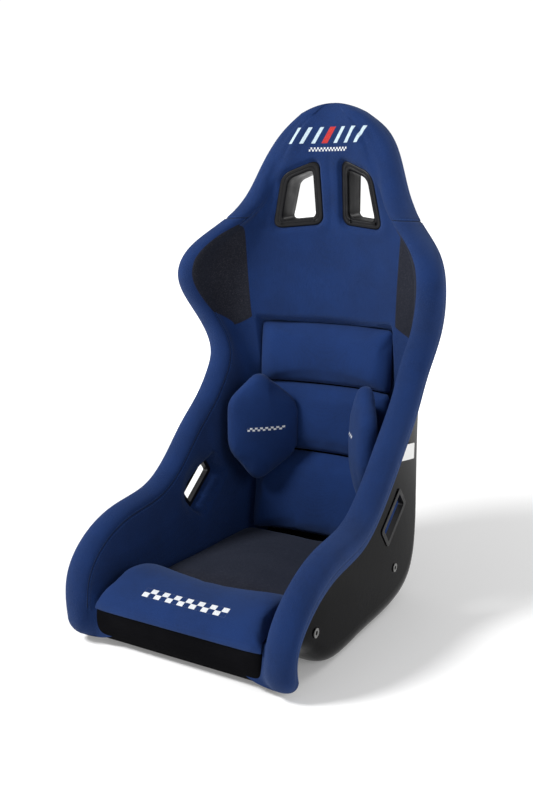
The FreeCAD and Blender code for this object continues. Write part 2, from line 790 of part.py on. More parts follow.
def build():
    nodes = {"shell": make_shell()}
    right_halves = {
        "thigh_bolster": make_thigh_bolster(),
        "hip_bolster": make_hip_bolster(),
        "wing_bolster": make_wing_bolster(),
        "grip_panel": make_grip_panel(),
        "strap_bezel_front": make_strap_bezel_front(),
        "strap_bezel_rear": make_strap_bezel_rear(),
        "strap_bezel_screws": make_bezel_screws(),
        "lap_bezel_inner": make_lap_bezel_inner(),
        "lap_bezel_outer": make_lap_bezel_outer(),
        "mount_plate": make_mount_plate(),
        "mount_bushes": make_mount_bushes(),
    }
    for name, solid in right_halves.items():
        nodes[name + "_right"] = solid
        nodes[name + "_left"] = mirror_left(solid)
    nodes["headrest_pad"] = make_headrest_pad()
    nodes["crown_pad"] = make_crown_pad()
    nodes["upper_back_pad"] = make_upper_back_pad()
    nodes["front_band"] = make_front_band()
    nodes["seat_base_foam"] = make_seat_base_foam()
    nodes["crotch_bezel"] = make_crotch_bezel()
    nodes["seat_cushion"] = make_seat_cushion()
    nodes["thigh_cushion"] = make_thigh_cushion()
    for name, low, high in zip(("lower", "middle", "upper"), back_breaks, back_breaks[1:]):
        nodes["lumbar_cushion_" + name] = make_lumbar_cushion(low + 0.4, high - 0.4)
    nodes["back_hook_strips"] = back_strips(0.4)
    nodes["back_loop_strips"] = back_strips(0.4 + strip_thickness + 0.3)
    hook_low = base_foam_top + 0.2
    nodes["seat_hook_strips"] = seat_strips(hook_low)
    nodes["seat_loop_strips"] = seat_strips(hook_low + strip_thickness + 0.3)
    for name, side, setting in (("left", -1, pad_left), ("right", 1, pad_right)):
        nodes["side_pad_" + name] = on_side(make_side_pad(setting), side)
        nodes["side_pad_loop_" + name] = on_side(pad_patch_plate(setting, 0, -2.4, strip_thickness), side)
        nodes["side_pad_hook_" + name] = on_side(pad_patch_plate(setting, 0, -0.9, strip_thickness), side)
    nodes["blank_label"] = make_blank_label()
    return nodes


os.makedirs("parts", exist_ok=True)
for name, solid in build().items():
    solid.exportStep("parts/" + name + ".step")
    print(name, solid.isValid())
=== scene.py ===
import json
import math

import bmesh
import bpy
import numpy as np
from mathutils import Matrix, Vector


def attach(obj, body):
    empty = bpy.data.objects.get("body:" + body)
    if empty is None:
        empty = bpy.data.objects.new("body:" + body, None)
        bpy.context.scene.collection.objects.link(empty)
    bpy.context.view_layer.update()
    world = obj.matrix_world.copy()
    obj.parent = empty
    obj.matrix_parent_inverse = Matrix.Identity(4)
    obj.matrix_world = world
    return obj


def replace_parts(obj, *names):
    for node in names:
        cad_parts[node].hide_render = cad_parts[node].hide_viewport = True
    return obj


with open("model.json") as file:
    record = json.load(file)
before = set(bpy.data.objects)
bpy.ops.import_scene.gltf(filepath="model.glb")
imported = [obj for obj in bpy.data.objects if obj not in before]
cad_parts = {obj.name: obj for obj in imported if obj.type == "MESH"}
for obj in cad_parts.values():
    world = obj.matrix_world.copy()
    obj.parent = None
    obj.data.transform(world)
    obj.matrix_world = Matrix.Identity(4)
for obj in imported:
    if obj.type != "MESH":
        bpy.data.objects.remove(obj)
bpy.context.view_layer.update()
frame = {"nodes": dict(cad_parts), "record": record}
mm = 0.001

# shape of the bucket

bucket = {
    # front sill to crown: base y, z; roll top y, z; half width at foot and rim; corner; foam; hollow per m
    "stations": np.array([
        (-205, 16, -229, 25, 188, 190, 28, 3, 0.0),
        (-206, 44, -233, 66, 194, 191, 30, 3, 0.0),
        (-198, 68, -218, 122, 200, 196, 34, 3, 0.0),
        (-150, 50, -171, 170, 201, 200, 38, 3, 0.0),
        (-85, 8, -98, 198, 201, 201, 36, 3, 0.0),
        (20, 4, -8, 212, 201, 201, 36, 3, 0.0),
        (130, 4, 58, 254, 201, 201, 40, 3, 0.0),
        (240, 22, 104, 300, 200, 201, 50, 3, 0.3),
        (277, 110, 152, 343, 196, 199, 60, 3, 0.7),
        (290, 240, 192, 390, 190, 199, 66, 3, 1.1),
        (305, 360, 208, 436, 188, 204, 66, 10, 1.3),
        (312, 450, 192, 490, 190, 226, 64, 26, 1.4),
        (320, 540, 160, 556, 190, 243, 62, 32, 1.7),
        (326, 610, 178, 618, 170, 222, 54, 32, 2.1),
        (330, 675, 228, 680, 130, 160, 44, 33, 2.6),
        (326, 755, 258, 756, 102, 123, 36, 42, 2.8),
        (316, 820, 276, 820, 70, 88, 26, 36, 3.4),
        (304, 851, 276, 851, 38, 51, 14, 20, 4.0),
    ], float),
    "rollRadius": 24.0,
    "rollInset": 6.0,
    "shellThickness": 5.0,
    "lap": 22.0,
    "leastRim": 8.0,
    "crownRise": 17.0,
    "coverStart": 0.62,
    "endDrop": 24.0,
}


def splineThrough(knots, values, at):
    # Natural cubic: a*y0 + b*y1 + ((a^3 - a)*m0 + (b^3 - b)*m1)*h^2/6, with m the second derivatives.
    n, gap = len(knots), np.diff(knots)
    system, right = np.zeros((n, n)), np.zeros((n, values.shape[1]))
    system[0, 0] = system[-1, -1] = 1
    i = np.arange(1, n - 1)
    system[i, i - 1], system[i, i], system[i, i + 1] = gap[:-1], 2 * (gap[:-1] + gap[1:]), gap[1:]
    slope = np.diff(values, axis=0) / gap[:, None]
    right[1:-1] = 6 * np.diff(slope, axis=0)
    second = np.linalg.solve(system, right)
    low = np.clip(np.searchsorted(knots, at, side="right") - 1, 0, n - 2)
    h = gap[low][:, None]
    b = ((at - knots[low]) / gap[low])[:, None]
    a = 1 - b
    return (a * values[low] + b * values[low + 1]
            + ((a**3 - a) * second[low] + (b**3 - b) * second[low + 1]) * h * h / 6)


class Sections:
    # Cross-sections at several places along the bucket, counted in stations; lengths in millimetres.

    def __init__(self, places):
        rows = bucket["stations"]
        apart = np.linalg.norm(np.diff(rows[:, :4], axis=0), axis=1)
        steps = np.concatenate([[0], np.cumsum(np.sqrt(apart))])
        at = np.interp(places, np.arange(len(rows)), steps)
        column = splineThrough(steps, rows, at).T
        baseY, baseZ, ridgeY, ridgeZ, self.foot, self.rim, self.corner, self.pad, hollow = column
        self.base = np.stack([baseY, baseZ], 1)
        self.depth = np.hypot(ridgeY - baseY, ridgeZ - baseZ)
        self.up = np.stack([ridgeY - baseY, ridgeZ - baseZ], 1) / self.depth[:, None]
        self.hollow = hollow / 1000
        self.roll = np.minimum(bucket["rollRadius"], 12 + 0.08 * self.rim)
        self.rollX = self.rim - bucket["rollInset"]
        self.rollHeight = self.depth - self.roll
        excess = self.rollHeight - bucket["leastRim"]
        self.rimHeight = bucket["leastRim"] + 0.5 * (excess + np.hypot(excess, bucket["leastRim"]))

    def padHeight(self, x):
        return self.pad + self.hollow * x * x

    def coverRuns(self):
        # Bezier control points (x, height) of the right half's cover, middle to the tucked edge.
        flat = 0.65 * self.foot
        end = self.padHeight(flat)
        slope = 2 * self.hollow * flat
        length = np.hypot(1, slope)
        inner = self.rollX - self.roll
        outer = self.rollX + self.roll
        room = np.clip((self.rollHeight - end + 10) / 30, 0, 1)
        steep = room * room * (3 - 2 * room)
        join = steep * self.rollHeight + (1 - steep) * (0.4 * end + 0.6 * self.depth)
        angle = np.radians(10 + 80 * steep)
        reach = 0.8 * (inner - flat)
        back = steep * 0.55 * np.abs(join - end) + (1 - steep) * 0.3 * (inner - flat)
        pull = 0.5523 * self.roll
        low = self.rollHeight
        hem = low - bucket["lap"]
        wall = self.rim + bucket["shellThickness"] + 0.8
        runs = [
            [(0 * flat, self.pad), (flat / 2, self.pad), (flat, end)],
            [(flat, end), (flat + reach / length, end + reach * slope / length),
             (inner - np.cos(angle) * back, join - np.sin(angle) * back), (inner, join)],
            [(inner, join), (inner + np.cos(angle) * pull, join + np.sin(angle) * pull),
             (self.rollX - pull, self.depth), (self.rollX, self.depth)],
            [(self.rollX, self.depth), (self.rollX + pull, self.depth), (outer, low + pull), (outer, low)],
            [(outer, low), (outer - 0.3, (low + hem) / 2 + 2), (outer - 1.8, hem + 5)],
            [(outer - 1.8, hem + 5), (outer - 3, hem - 3.5), (wall + 2, hem - 5), (wall, hem + 4)],
        ]
        return [np.stack([np.stack(pole, -1) for pole in run], 1) for run in runs]

    def place(self, x, height):
        # Points in metres from x and height, arrays of places by columns.
        y = self.base[:, None, 0] + self.up[:, None, 0] * height
        z = self.base[:, None, 1] + self.up[:, None, 1] * height
        return np.stack([x, y, z], -1) * mm


def bezier(poles, t):
    # Repeated blending of neighbouring control points: p = p0 + (p1 - p0)*t until one is left.
    points = np.repeat(poles[:, :, None, :], len(t), axis=2)
    while points.shape[1] > 1:
        points = points[:, :-1] + (points[:, 1:] - points[:, :-1]) * t[None, None, :, None]
    return points[:, 0]


def rowProfile(sections, counts):
    # x and height across the right half, [places, columns], with counts samples on each run.
    parts = []
    for run, count in zip(sections.coverRuns(), counts):
        t = np.linspace(0, 1, count + 1)
        parts.append(bezier(run, t)[:, (1 if parts else 0):])
    both = np.concatenate(parts, axis=1)
    return both[..., 0], both[..., 1]


def smooth(value):
    t = np.clip(value, 0, 1)
    return t * t * (3 - 2 * t)


# meshes

def gridQuads(rows, columns, wrap=False):
    # Corners (i, j), (i, j+1), (i+1, j+1), (i+1, j) of a grid stored row by row.
    last = columns if wrap else columns - 1
    i, j = np.meshgrid(np.arange(rows - 1), np.arange(last), indexing="ij")
    k = (j + 1) % columns
    corners = [i * columns + j, i * columns + k, (i + 1) * columns + k, (i + 1) * columns + j]
    return np.stack(corners, -1).reshape(-1, 4)


def faceNormals(points, quads):
    corner = points[quads]
    return np.cross(corner[:, 2] - corner[:, 0], corner[:, 3] - corner[:, 1])


def gridNormals(grid):
    # Unit normals of a grid of points: (dP/drow) x (dP/dcolumn).
    normal = np.cross(np.gradient(grid, axis=0), np.gradient(grid, axis=1))
    return normal / np.maximum(np.linalg.norm(normal, axis=-1, keepdims=True), 1e-12)


def makePiece(name, points, faces, body, material, uv=None, seam=None):
    # A mesh object from points in metres; smooth shaded, riding on a body.
    points = np.asarray(points, float).reshape(-1, 3)
    mesh = bpy.data.meshes.new(name)
    mesh.from_pydata(points.tolist(), [], [tuple(face) for face in np.asarray(faces).tolist()])
    mesh.polygons.foreach_set("use_smooth", np.ones(len(mesh.polygons), bool))
    if uv is not None:
        layer = mesh.uv_layers.new(name="cloth")
        loops = np.zeros(len(mesh.loops), np.int32)
        mesh.loops.foreach_get("vertex_index", loops)
        layer.data.foreach_set("uv", uv.reshape(-1, 2)[loops].ravel())
    if seam is not None:
        mesh.attributes.new("seam", "FLOAT_VECTOR", "POINT").data.foreach_set("vector", seam.ravel())
    mesh.update()
    piece = bpy.data.objects.new(name, mesh)
    bpy.context.scene.collection.objects.link(piece)
    mesh.materials.append(material)
    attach(piece, body)
    return piece


def coordinates(mesh):
    flat = np.zeros(len(mesh.vertices) * 3)
    mesh.vertices.foreach_get("co", flat)
    return flat.reshape(-1, 3)


def sheetFaces(points, quads, outwards):
    # The quads, turned round where most of them face away from outwards.
    facing = np.sum(faceNormals(points.reshape(-1, 3), quads) * outwards)
    return quads if facing > 0 else quads[:, ::-1]


# materials

class Nodes:
    # Short names for building a node tree.

    def __init__(self, name):
        self.material = bpy.data.materials.new(name)
        self.material.use_nodes = True
        self.tree = self.material.node_tree
        self.shader = self.tree.nodes["Principled BSDF"]
        self.coords = self.tree.nodes.new("ShaderNodeTexCoord")

    def put(self, socket, value):
        if isinstance(value, bpy.types.NodeSocket):
            self.tree.links.new(value, socket)
        else:
            socket.default_value = value

    def surface(self, name, value):
        self.put(self.shader.inputs[name], value)

    def source(self, name):
        return self.shader.inputs[name].links[0].from_socket

    def add(self, kind, inputs=(), **settings):
        node = self.tree.nodes.new(kind)
        for key, value in settings.items():
            setattr(node, key, value)
        for key, value in dict(inputs).items():
            self.put(node.inputs[key], value)
        return node

    def math(self, operation, a, b=0.0, c=0.0):
        return self.add("ShaderNodeMath", {0: a, 1: b, 2: c}, operation=operation).outputs[0]

    def times(self, a, b):
        return self.math("MULTIPLY", a, b)

    def plus(self, a, b):
        return self.math("ADD", a, b)

    def minus(self, a, b):
        return self.math("SUBTRACT", a, b)

    def noise(self, vector, scale, detail=2.0, roughness=0.5):
        inputs = {"Vector": vector, "Scale": scale, "Detail": detail, "Roughness": roughness}
        return self.add("ShaderNodeTexNoise", inputs).outputs[0]

    def mix(self, factor, a, b):
        node = self.add("ShaderNodeMix", data_type="RGBA")
        self.put(node.inputs[0], factor)
        self.put(node.inputs[6], a)
        self.put(node.inputs[7], b)
        return node.outputs[2]

    def remap(self, value, low, high, toLow=0.0, toHigh=1.0):
        inputs = {0: value, 1: low, 2: high, 3: toLow, 4: toHigh}
        return self.add("ShaderNodeMapRange", inputs, interpolation_type="SMOOTHSTEP").outputs[0]

    def bump(self, height, strength, distance, normal=None):
        inputs = {"Height": height, "Strength": strength, "Distance": distance}
        if normal is not None:
            inputs["Normal"] = normal
        return self.add("ShaderNodeBump", inputs).outputs[0]


def clothMaterial(name, dark, bright, knit, sheen, roughness, speckle=0.0, specular=0.1):
    # Knitted cloth: pebbled loops at the knit's size, thread-to-thread colour, slow mottling, soft sheen.
    n = Nodes(name)
    at = n.coords.outputs["Object"]
    cells = {"Vector": at, "Scale": 1 / knit, "Randomness": 0.55}
    loops = n.add("ShaderNodeTexVoronoi", cells).outputs["Distance"]
    fuzz = n.noise(at, 0.6 / knit, 3.0, 0.7)
    slow = n.noise(at, 14.0, 3.0, 0.55)
    patch = n.remap(slow, 0.3, 0.7, 0.0, 0.3)
    thread = n.remap(n.plus(loops, n.times(fuzz, 0.6)), 0.35, 1.15, 0.0, 0.45)
    tone = n.plus(patch, thread)
    colour = n.mix(tone, (*bright, 1), (*dark, 1))
    if speckle:
        grains = n.add("ShaderNodeTexVoronoi", {"Vector": at, "Scale": 1100.0}).outputs["Color"]
        grain = n.remap(n.add("ShaderNodeSeparateColor", {0: grains}).outputs[0], 0.78, 0.95, 0.0, speckle)
        colour = n.mix(grain, colour, (0.12, 0.12, 0.14, 1))
    n.surface("Base Color", colour)
    n.surface("Roughness", n.remap(fuzz, 0.3, 0.7, roughness - 0.06, roughness + 0.05))
    coarse = n.bump(slow, 0.12, 0.004)
    fine = n.bump(n.plus(loops, n.times(fuzz, 0.5)), 0.28, 0.0005, coarse)
    n.surface("Normal", fine)
    n.surface("Specular IOR Level", specular)
    n.surface("Sheen Weight", sheen)
    n.surface("Sheen Roughness", 0.6)
    n.surface("Sheen Tint", (0.45, 0.62, 1.0, 1))
    return n


def gelCoatMaterial(name):
    # Black gel coat over glass fibre: clear gloss, faint orange peel, fine dust in the low spots.
    n = Nodes(name)
    at = n.coords.outputs["Object"]
    peel = n.noise(at, 240.0, 2.0, 0.5)
    weave = n.noise(at, 60.0, 4.0, 0.6)
    dust = n.remap(n.noise(at, 9.0, 6.0, 0.65), 0.5, 0.8)
    n.surface("Base Color", n.mix(dust, (0.0015, 0.0015, 0.002, 1), (0.004, 0.004, 0.005, 1)))
    n.surface("Roughness", n.remap(n.plus(dust, weave), 0.3, 1.5, 0.16, 0.3))
    n.surface("Normal", n.bump(n.plus(peel, n.times(weave, 2.0)), 0.08, 0.0006))
    n.surface("IOR", 1.12)
    n.surface("Specular IOR Level", 0.4)
    return n.material


def mouldedMaterial(name, colour, roughness):
    # Moulded plastic: fine spark-eroded grain, worn slightly smoother in patches.
    n = Nodes(name)
    at = n.coords.outputs["Object"]
    grain = n.noise(at, 1500.0, 3.0, 0.6)
    wear = n.remap(n.noise(at, 40.0, 4.0, 0.6), 0.45, 0.75)
    brighter = tuple(1.6 * c for c in colour)
    n.surface("Base Color", n.mix(n.times(wear, 0.5), (*colour, 1), (*brighter, 1)))
    n.surface("Roughness", n.remap(wear, 0, 1, roughness + 0.08, roughness - 0.08))
    n.surface("Normal", n.bump(grain, 0.2, 0.0002))
    n.surface("IOR", 1.3)
    return n.material


def steelMaterial(name, dark, pale):
    # Plated steel: fine scratches and slightly varied gloss.
    n = Nodes(name)
    at = n.coords.outputs["Object"]
    stretched = n.add("ShaderNodeMapping", {"Vector": at, "Scale": (200.0, 200.0, 2500.0)}).outputs[0]
    scratches = n.noise(stretched, 1.0, 4.0, 0.7)
    n.surface("Base Color", n.mix(scratches, (*dark, 1), (*pale, 1)))
    n.surface("Roughness", n.remap(scratches, 0.3, 0.7, 0.28, 0.5))
    n.surface("Normal", n.bump(scratches, 0.1, 0.0001))
    n.surface("Metallic", 1.0)
    return n.material


def tapeMaterial(name):
    # Hook-and-loop tape: a dense field of tiny dark loops.
    n = Nodes(name)
    at = n.coords.outputs["Object"]
    hooks = n.add("ShaderNodeTexVoronoi", {"Vector": at, "Scale": 900.0}).outputs["Distance"]
    n.surface("Base Color", n.mix(hooks, (0.03, 0.03, 0.032, 1), (0.006, 0.006, 0.007, 1)))
    n.surface("Normal", n.bump(hooks, 0.8, 0.0008))
    n.surface("Roughness", 0.95)
    return n.material


def filmMaterial(name):
    # Blank white film: satin, faintly yellowed and creased.
    n = Nodes(name)
    at = n.coords.outputs["Object"]
    age = n.noise(at, 30.0, 3.0, 0.6)
    n.surface("Base Color", n.mix(age, (0.78, 0.78, 0.77, 1), (0.7, 0.7, 0.68, 1)))
    n.surface("Roughness", n.remap(age, 0.3, 0.7, 0.3, 0.42))
    n.surface("Normal", n.bump(n.noise(at, 120.0), 0.1, 0.0004))
    return n.material


def seamLines(n, thread):
    # Seam line with painted shade darkening the cloth in its crease, two rows of stitches beside it and fine
    # puckers, from each point's distance to the seam.
    seam = n.add("ShaderNodeAttribute", attribute_name="seam").outputs["Vector"]
    off, along, _ = n.add("ShaderNodeSeparateXYZ", {0: seam}).outputs
    off = n.math("ABSOLUTE", off)
    line = n.remap(off, 0.0013, 0.0004)
    row = n.remap(n.math("ABSOLUTE", n.minus(off, 0.0034)), 0.0006, 0.0003)
    dash = n.remap(n.math("PINGPONG", along, 0.0024), 0.0006, 0.0009)
    stitches = n.times(row, dash)
    stretched = n.add("ShaderNodeMapping", {"Vector": seam, "Scale": (30.0, 190.0, 1.0)}).outputs[0]
    puckers = n.times(n.noise(stretched, 1.0, 2.0), n.remap(off, 0.016, 0.001))
    base = n.source("Base Color")
    normal = n.source("Normal")
    # painted shade: the cloth is darkened towards deep navy along the seam line, where its crease lies in
    # shade
    dark = n.mix(n.times(line, 0.9), base, (0.003, 0.005, 0.014, 1))
    n.surface("Base Color", n.mix(n.times(stitches, 0.8), dark, thread))
    relief = n.plus(n.times(puckers, 1.4), n.times(stitches, 0.3))
    n.surface("Normal", n.bump(n.minus(relief, line), 0.7, 0.0012, normal))


def checkBand(n, centre, size, square, behind=None, slope=0.0, colour=(0.72, 0.74, 0.76, 1)):
    # Two-row chequered band around centre, in x and in z*cos(slope) + y*sin(slope), where y is under behind.
    x, y, z = n.add("ShaderNodeSeparateXYZ", {0: n.coords.outputs["Object"]}).outputs
    rising = n.plus(n.times(z, math.cos(slope)), n.times(y, math.sin(slope)))
    u = n.minus(x, centre[0])
    v = n.minus(rising, centre[1])
    inside = n.times(n.remap(n.math("ABSOLUTE", u), size[0] + 0.0002, size[0] - 0.0002),
                    n.remap(n.math("ABSOLUTE", v), size[1] + 0.0002, size[1] - 0.0002))
    columns = n.math("FLOOR", n.math("DIVIDE", n.plus(u, size[0]), square[0]))
    rows = n.math("FLOOR", n.math("DIVIDE", n.plus(v, size[1]), square[1]))
    parity = n.math("LESS_THAN", n.math("PINGPONG", n.plus(columns, rows), 1.0), 0.5)
    mask = n.times(inside, parity)
    if behind is not None:
        mask = n.times(mask, n.math("LESS_THAN", y, behind))
    embroidery(n, mask, colour)


def embroidery(n, mask, colour):
    # Lays raised satin stitches over a cloth material where mask is 1.
    at = n.coords.outputs["Object"]
    stretched = n.add("ShaderNodeMapping", {"Vector": at, "Scale": (2600.0, 400.0, 400.0)}).outputs[0]
    threads = n.noise(stretched, 1.0, 1.0, 0.5)
    base = n.source("Base Color")
    normal = n.source("Normal")
    thread = n.mix(n.remap(threads, 0.3, 0.7), colour, tuple(0.72 * c for c in colour[:3]) + (1,))
    n.surface("Base Color", n.mix(mask, base, thread))
    raised = n.plus(mask, n.times(threads, 0.3))
    n.surface("Normal", n.bump(raised, 0.5, 0.0006, normal))


blueCloth = dict(dark=(0.004, 0.013, 0.053), bright=(0.0068, 0.027, 0.116), knit=0.0011,
                 sheen=0.1, roughness=0.88)
blueMaterial = clothMaterial("blueCloth", **blueCloth).material
gripMaterial = clothMaterial("gripCloth", dark=(0.006, 0.0065, 0.01), bright=(0.014, 0.015, 0.022),
                             knit=0.0016, sheen=0.04, roughness=0.9, speckle=0.16).material
charcoalMaterial = clothMaterial("charcoalCloth", dark=(0.006, 0.0065, 0.011), bright=(0.014, 0.015, 0.023),
                                 knit=0.0013, sheen=0.05, roughness=0.9, speckle=0.1).material
blackMaterial = clothMaterial("blackCloth", dark=(0.0015, 0.0015, 0.002), bright=(0.005, 0.005, 0.006),
                              knit=0.0012, sheen=0.0, roughness=0.92, specular=0.02).material
foamMaterial = clothMaterial("blockFoam", dark=(0.02, 0.02, 0.022), bright=(0.045, 0.045, 0.048), knit=0.002,
                             sheen=0.0, roughness=0.95).material
bezelPlastic = mouldedMaterial("bezelPlastic", (0.004, 0.004, 0.005), 0.36)
print("materials made")

# cover over the bolsters, back and head

strapOpening = {
    "corners": np.array([(22, 772), (90, 745), (111, 646), (19, 654)], float),
    "origin": (19.0, 654.0),
    "face": (302.5, -0.34, -0.12),
    "back": (340.9, -0.31, -0.05),
    "frame": 13.0,
    "rearCorners": np.array([(29, 768), (88, 741), (107, 651), (26, 659)], float),
    "rearFrame": 11.0,
    "tuck": 2.6,
    "under": 2.7,
    "outlineStart": 19.0,
    "radius": 16.0,
}
cover = {
    "counts": (34, 60, 26, 18, 6, 8),
    "rowLength": 5.0,
    "fineRowLength": 3.0,
    "cushionHalf": 138.0,
    "backJoin": 479.0,
    "seamDepth": 1.7,
    "seamWidth": 2.2,
    "stitchGap": 5.0,  # seam to the roll's foot
    "hemGap": 9.0,
    "headPlaces": (13.2, 16.2),
    "lapPlaces": (4.5, 9.0),
    "crossSeamPlace": 13.78,
    "panelHalf": 112.0,
    "panelTop": 455.0,
    "frontPlace": 8.5,
    "holeEdge": -5.0,
}


def outsideDistance(corners, x, z, radius):
    # Signed distance to a convex outline with round corners: |max(n.p - reach + r, 0)| over its sides, - r.
    middle = corners.mean(0)
    total = 0
    for (x0, z0), (x1, z1) in zip(corners, np.roll(corners, -1, axis=0)):
        length = math.hypot(x1 - x0, z1 - z0)
        nx, nz = (z1 - z0) / length, (x0 - x1) / length
        reach = nx * x0 + nz * z0
        if nx * middle[0] + nz * middle[1] > reach:
            nx, nz, reach = -nx, -nz, -reach
        total = total + np.maximum(nx * x + nz * z - reach + radius, 0) ** 2
    return np.sqrt(total) - radius


def strapPlane(x, z, key="face"):
    y0, alongX, alongZ = strapOpening[key]
    return y0 + alongX * (np.abs(x) - strapOpening["origin"][0]) + alongZ * (z - strapOpening["origin"][1])


lapOpening = {
    "centre": (134.0, 177.0),
    "length": 78.0,
    "width": 30.0,
    "slant": 38.5,
    "frame": 8.0,
    "rounding": 7.0,
    "face": 197.8,
    "hollowMiddle": (104.0, -18.0, 20.0),
    "hollowSize": (84.0, 95.0, 80.0),
}


def lapAxes(y, z):
    # Distances along and across the slanted opening from its middle.
    a = math.radians(lapOpening["slant"])
    dy, dz = y - lapOpening["centre"][0], z - lapOpening["centre"][1]
    return dy * math.cos(a) + dz * math.sin(a), dz * math.cos(a) - dy * math.sin(a)


def lapDistance(y, z):
    # Distance outside the bezel's rounded rectangle: |max(q, 0)| + min(max(q), 0) - r, q = |p| - half + r.
    along, across = lapAxes(y, z)
    r = lapOpening["rounding"]
    qa = np.abs(along) - lapOpening["length"] / 2 - lapOpening["frame"] + r
    qb = np.abs(across) - lapOpening["width"] / 2 - lapOpening["frame"] + r
    return np.hypot(np.maximum(qa, 0), np.maximum(qb, 0)) + np.minimum(np.maximum(qa, qb), 0) - r


def lapHollow(y, z):
    # x of the hollow round the opening: middle + size*sqrt(1 - along^2 - across^2) of an ellipsoid.
    along, across = lapAxes(y, z)
    x0, a0, b0 = lapOpening["hollowMiddle"]
    sx, sa, sb = lapOpening["hollowSize"]
    left = 1 - ((along - a0) / sa) ** 2 - ((across - b0) / sb) ** 2
    return np.where(left > 0, x0 + sx * np.sqrt(np.maximum(left, 0)), 0)


def coverPlaces():
    # Places along the bucket, spaced by rowLength along the roll and more finely over the head.
    fine = np.linspace(bucket["coverStart"], len(bucket["stations"]) - 1, 1500)
    sections = Sections(fine)
    ridge = sections.base + sections.up * sections.depth[:, None]
    step = np.linalg.norm(np.diff(ridge, axis=0), axis=1)
    middle = (fine[1:] + fine[:-1]) / 2
    detailed = ((middle > 13.4) & (middle < 16.2)) | ((middle > 5.4) & (middle < 8))
    wanted = np.where(detailed, cover["fineRowLength"], cover["rowLength"])
    count = np.concatenate([[0], np.cumsum(step / wanted)])
    return np.interp(np.linspace(0, count[-1], int(count[-1])), count, fine)


def between(places, limits):
    return (places > limits[0]) & (places < limits[1])


def shellHeight(sections, x):
    return 0.9 * sections.hollow[:, None] * x * x


def coverGrid():
    # The whole cover: left edge over the rolls and the middle to the right edge, row by row.
    places = coverPlaces()
    sections = Sections(places)
    x, height = rowProfile(sections, cover["counts"])
    onFloor = shellHeight(sections, x) + 1.6
    z = sections.base[:, None, 1] + sections.up[:, None, 1] * height
    columns = np.arange(x.shape[1])[None, :]
    face = columns < sum(cover["counts"][:3])
    # behind the loose back cushions the cover lies on the shell
    below = smooth((cover["backJoin"] - z) / 7 + 0.5) * (z > 40)
    behind = below * smooth((cover["cushionHalf"] - x) / 5 + 0.5)
    behind = behind * face * (places[:, None] > 6)
    height = height + (onFloor - height) * behind
    # the middle panel swells a little between its seams
    swell = 3.2 * smooth((z - cover["backJoin"]) / 60) * np.exp(-(x / 95) ** 4) * (places[:, None] > 10.5)
    height = height + swell * face * smooth((16.2 - places[:, None]) / 2.5)
    points = sections.place(x, height) / mm
    px, py, pz = points[..., 0], points[..., 1], points[..., 2]
    # tucked in round the strap bezels
    apart = outsideDistance(strapOpening["corners"], px, pz, strapOpening["radius"]) + strapOpening["under"]
    nearHead = face & between(places, cover["headPlaces"])[:, None]
    plane = strapPlane(px, pz)
    edge = plane + strapOpening["tuck"]
    blend = smooth(apart / 9)
    bulge = -1.2 * np.exp(-((apart - 15) / 8) ** 2)
    tucked = np.where(apart > 0, edge + (py + bulge - edge) * blend, plane + 3.6)
    points[..., 1] = np.where(nearHead & (apart < 40), tucked, py)
    # pressed back round the lap bezels, then swelling up beside them
    lapApart = lapDistance(py, pz)
    onWall = face & between(places, cover["lapPlaces"])[:, None] & (px > 136)
    deep = lapHollow(py, pz) - px
    hollowed = px + 0.5 * (deep + np.hypot(deep, 5.0)) - 0.5 * (np.hypot(5.0, 40.0) - 40.0)
    hollowed = np.where(onWall & (deep > -40), hollowed, px)
    under = lapOpening["face"] + 1.6
    pressed = under + (hollowed - under) * smooth((lapApart - 2.5) / 9)
    points[..., 0] = np.where(onWall & (lapApart < 30), pressed, hollowed)
    return places, points, apart


def sinkSeams(points, depth):
    # Moves points against the surface's normal by depth.
    normal = gridNormals(points)
    towards = np.sign(np.sum(normal * np.array([0, -1, 0.3]), axis=-1).sum())
    return points - towards * normal * depth[..., None]


def arcLength(points, axis):
    step = np.linalg.norm(np.diff(points, axis=axis), axis=-1)
    zero = np.zeros_like(np.take(step, [0], axis=axis))
    return np.concatenate([zero, np.cumsum(step, axis=axis)], axis=axis)


def groove(distance, width):
    return np.exp(-(distance / width) ** 2)


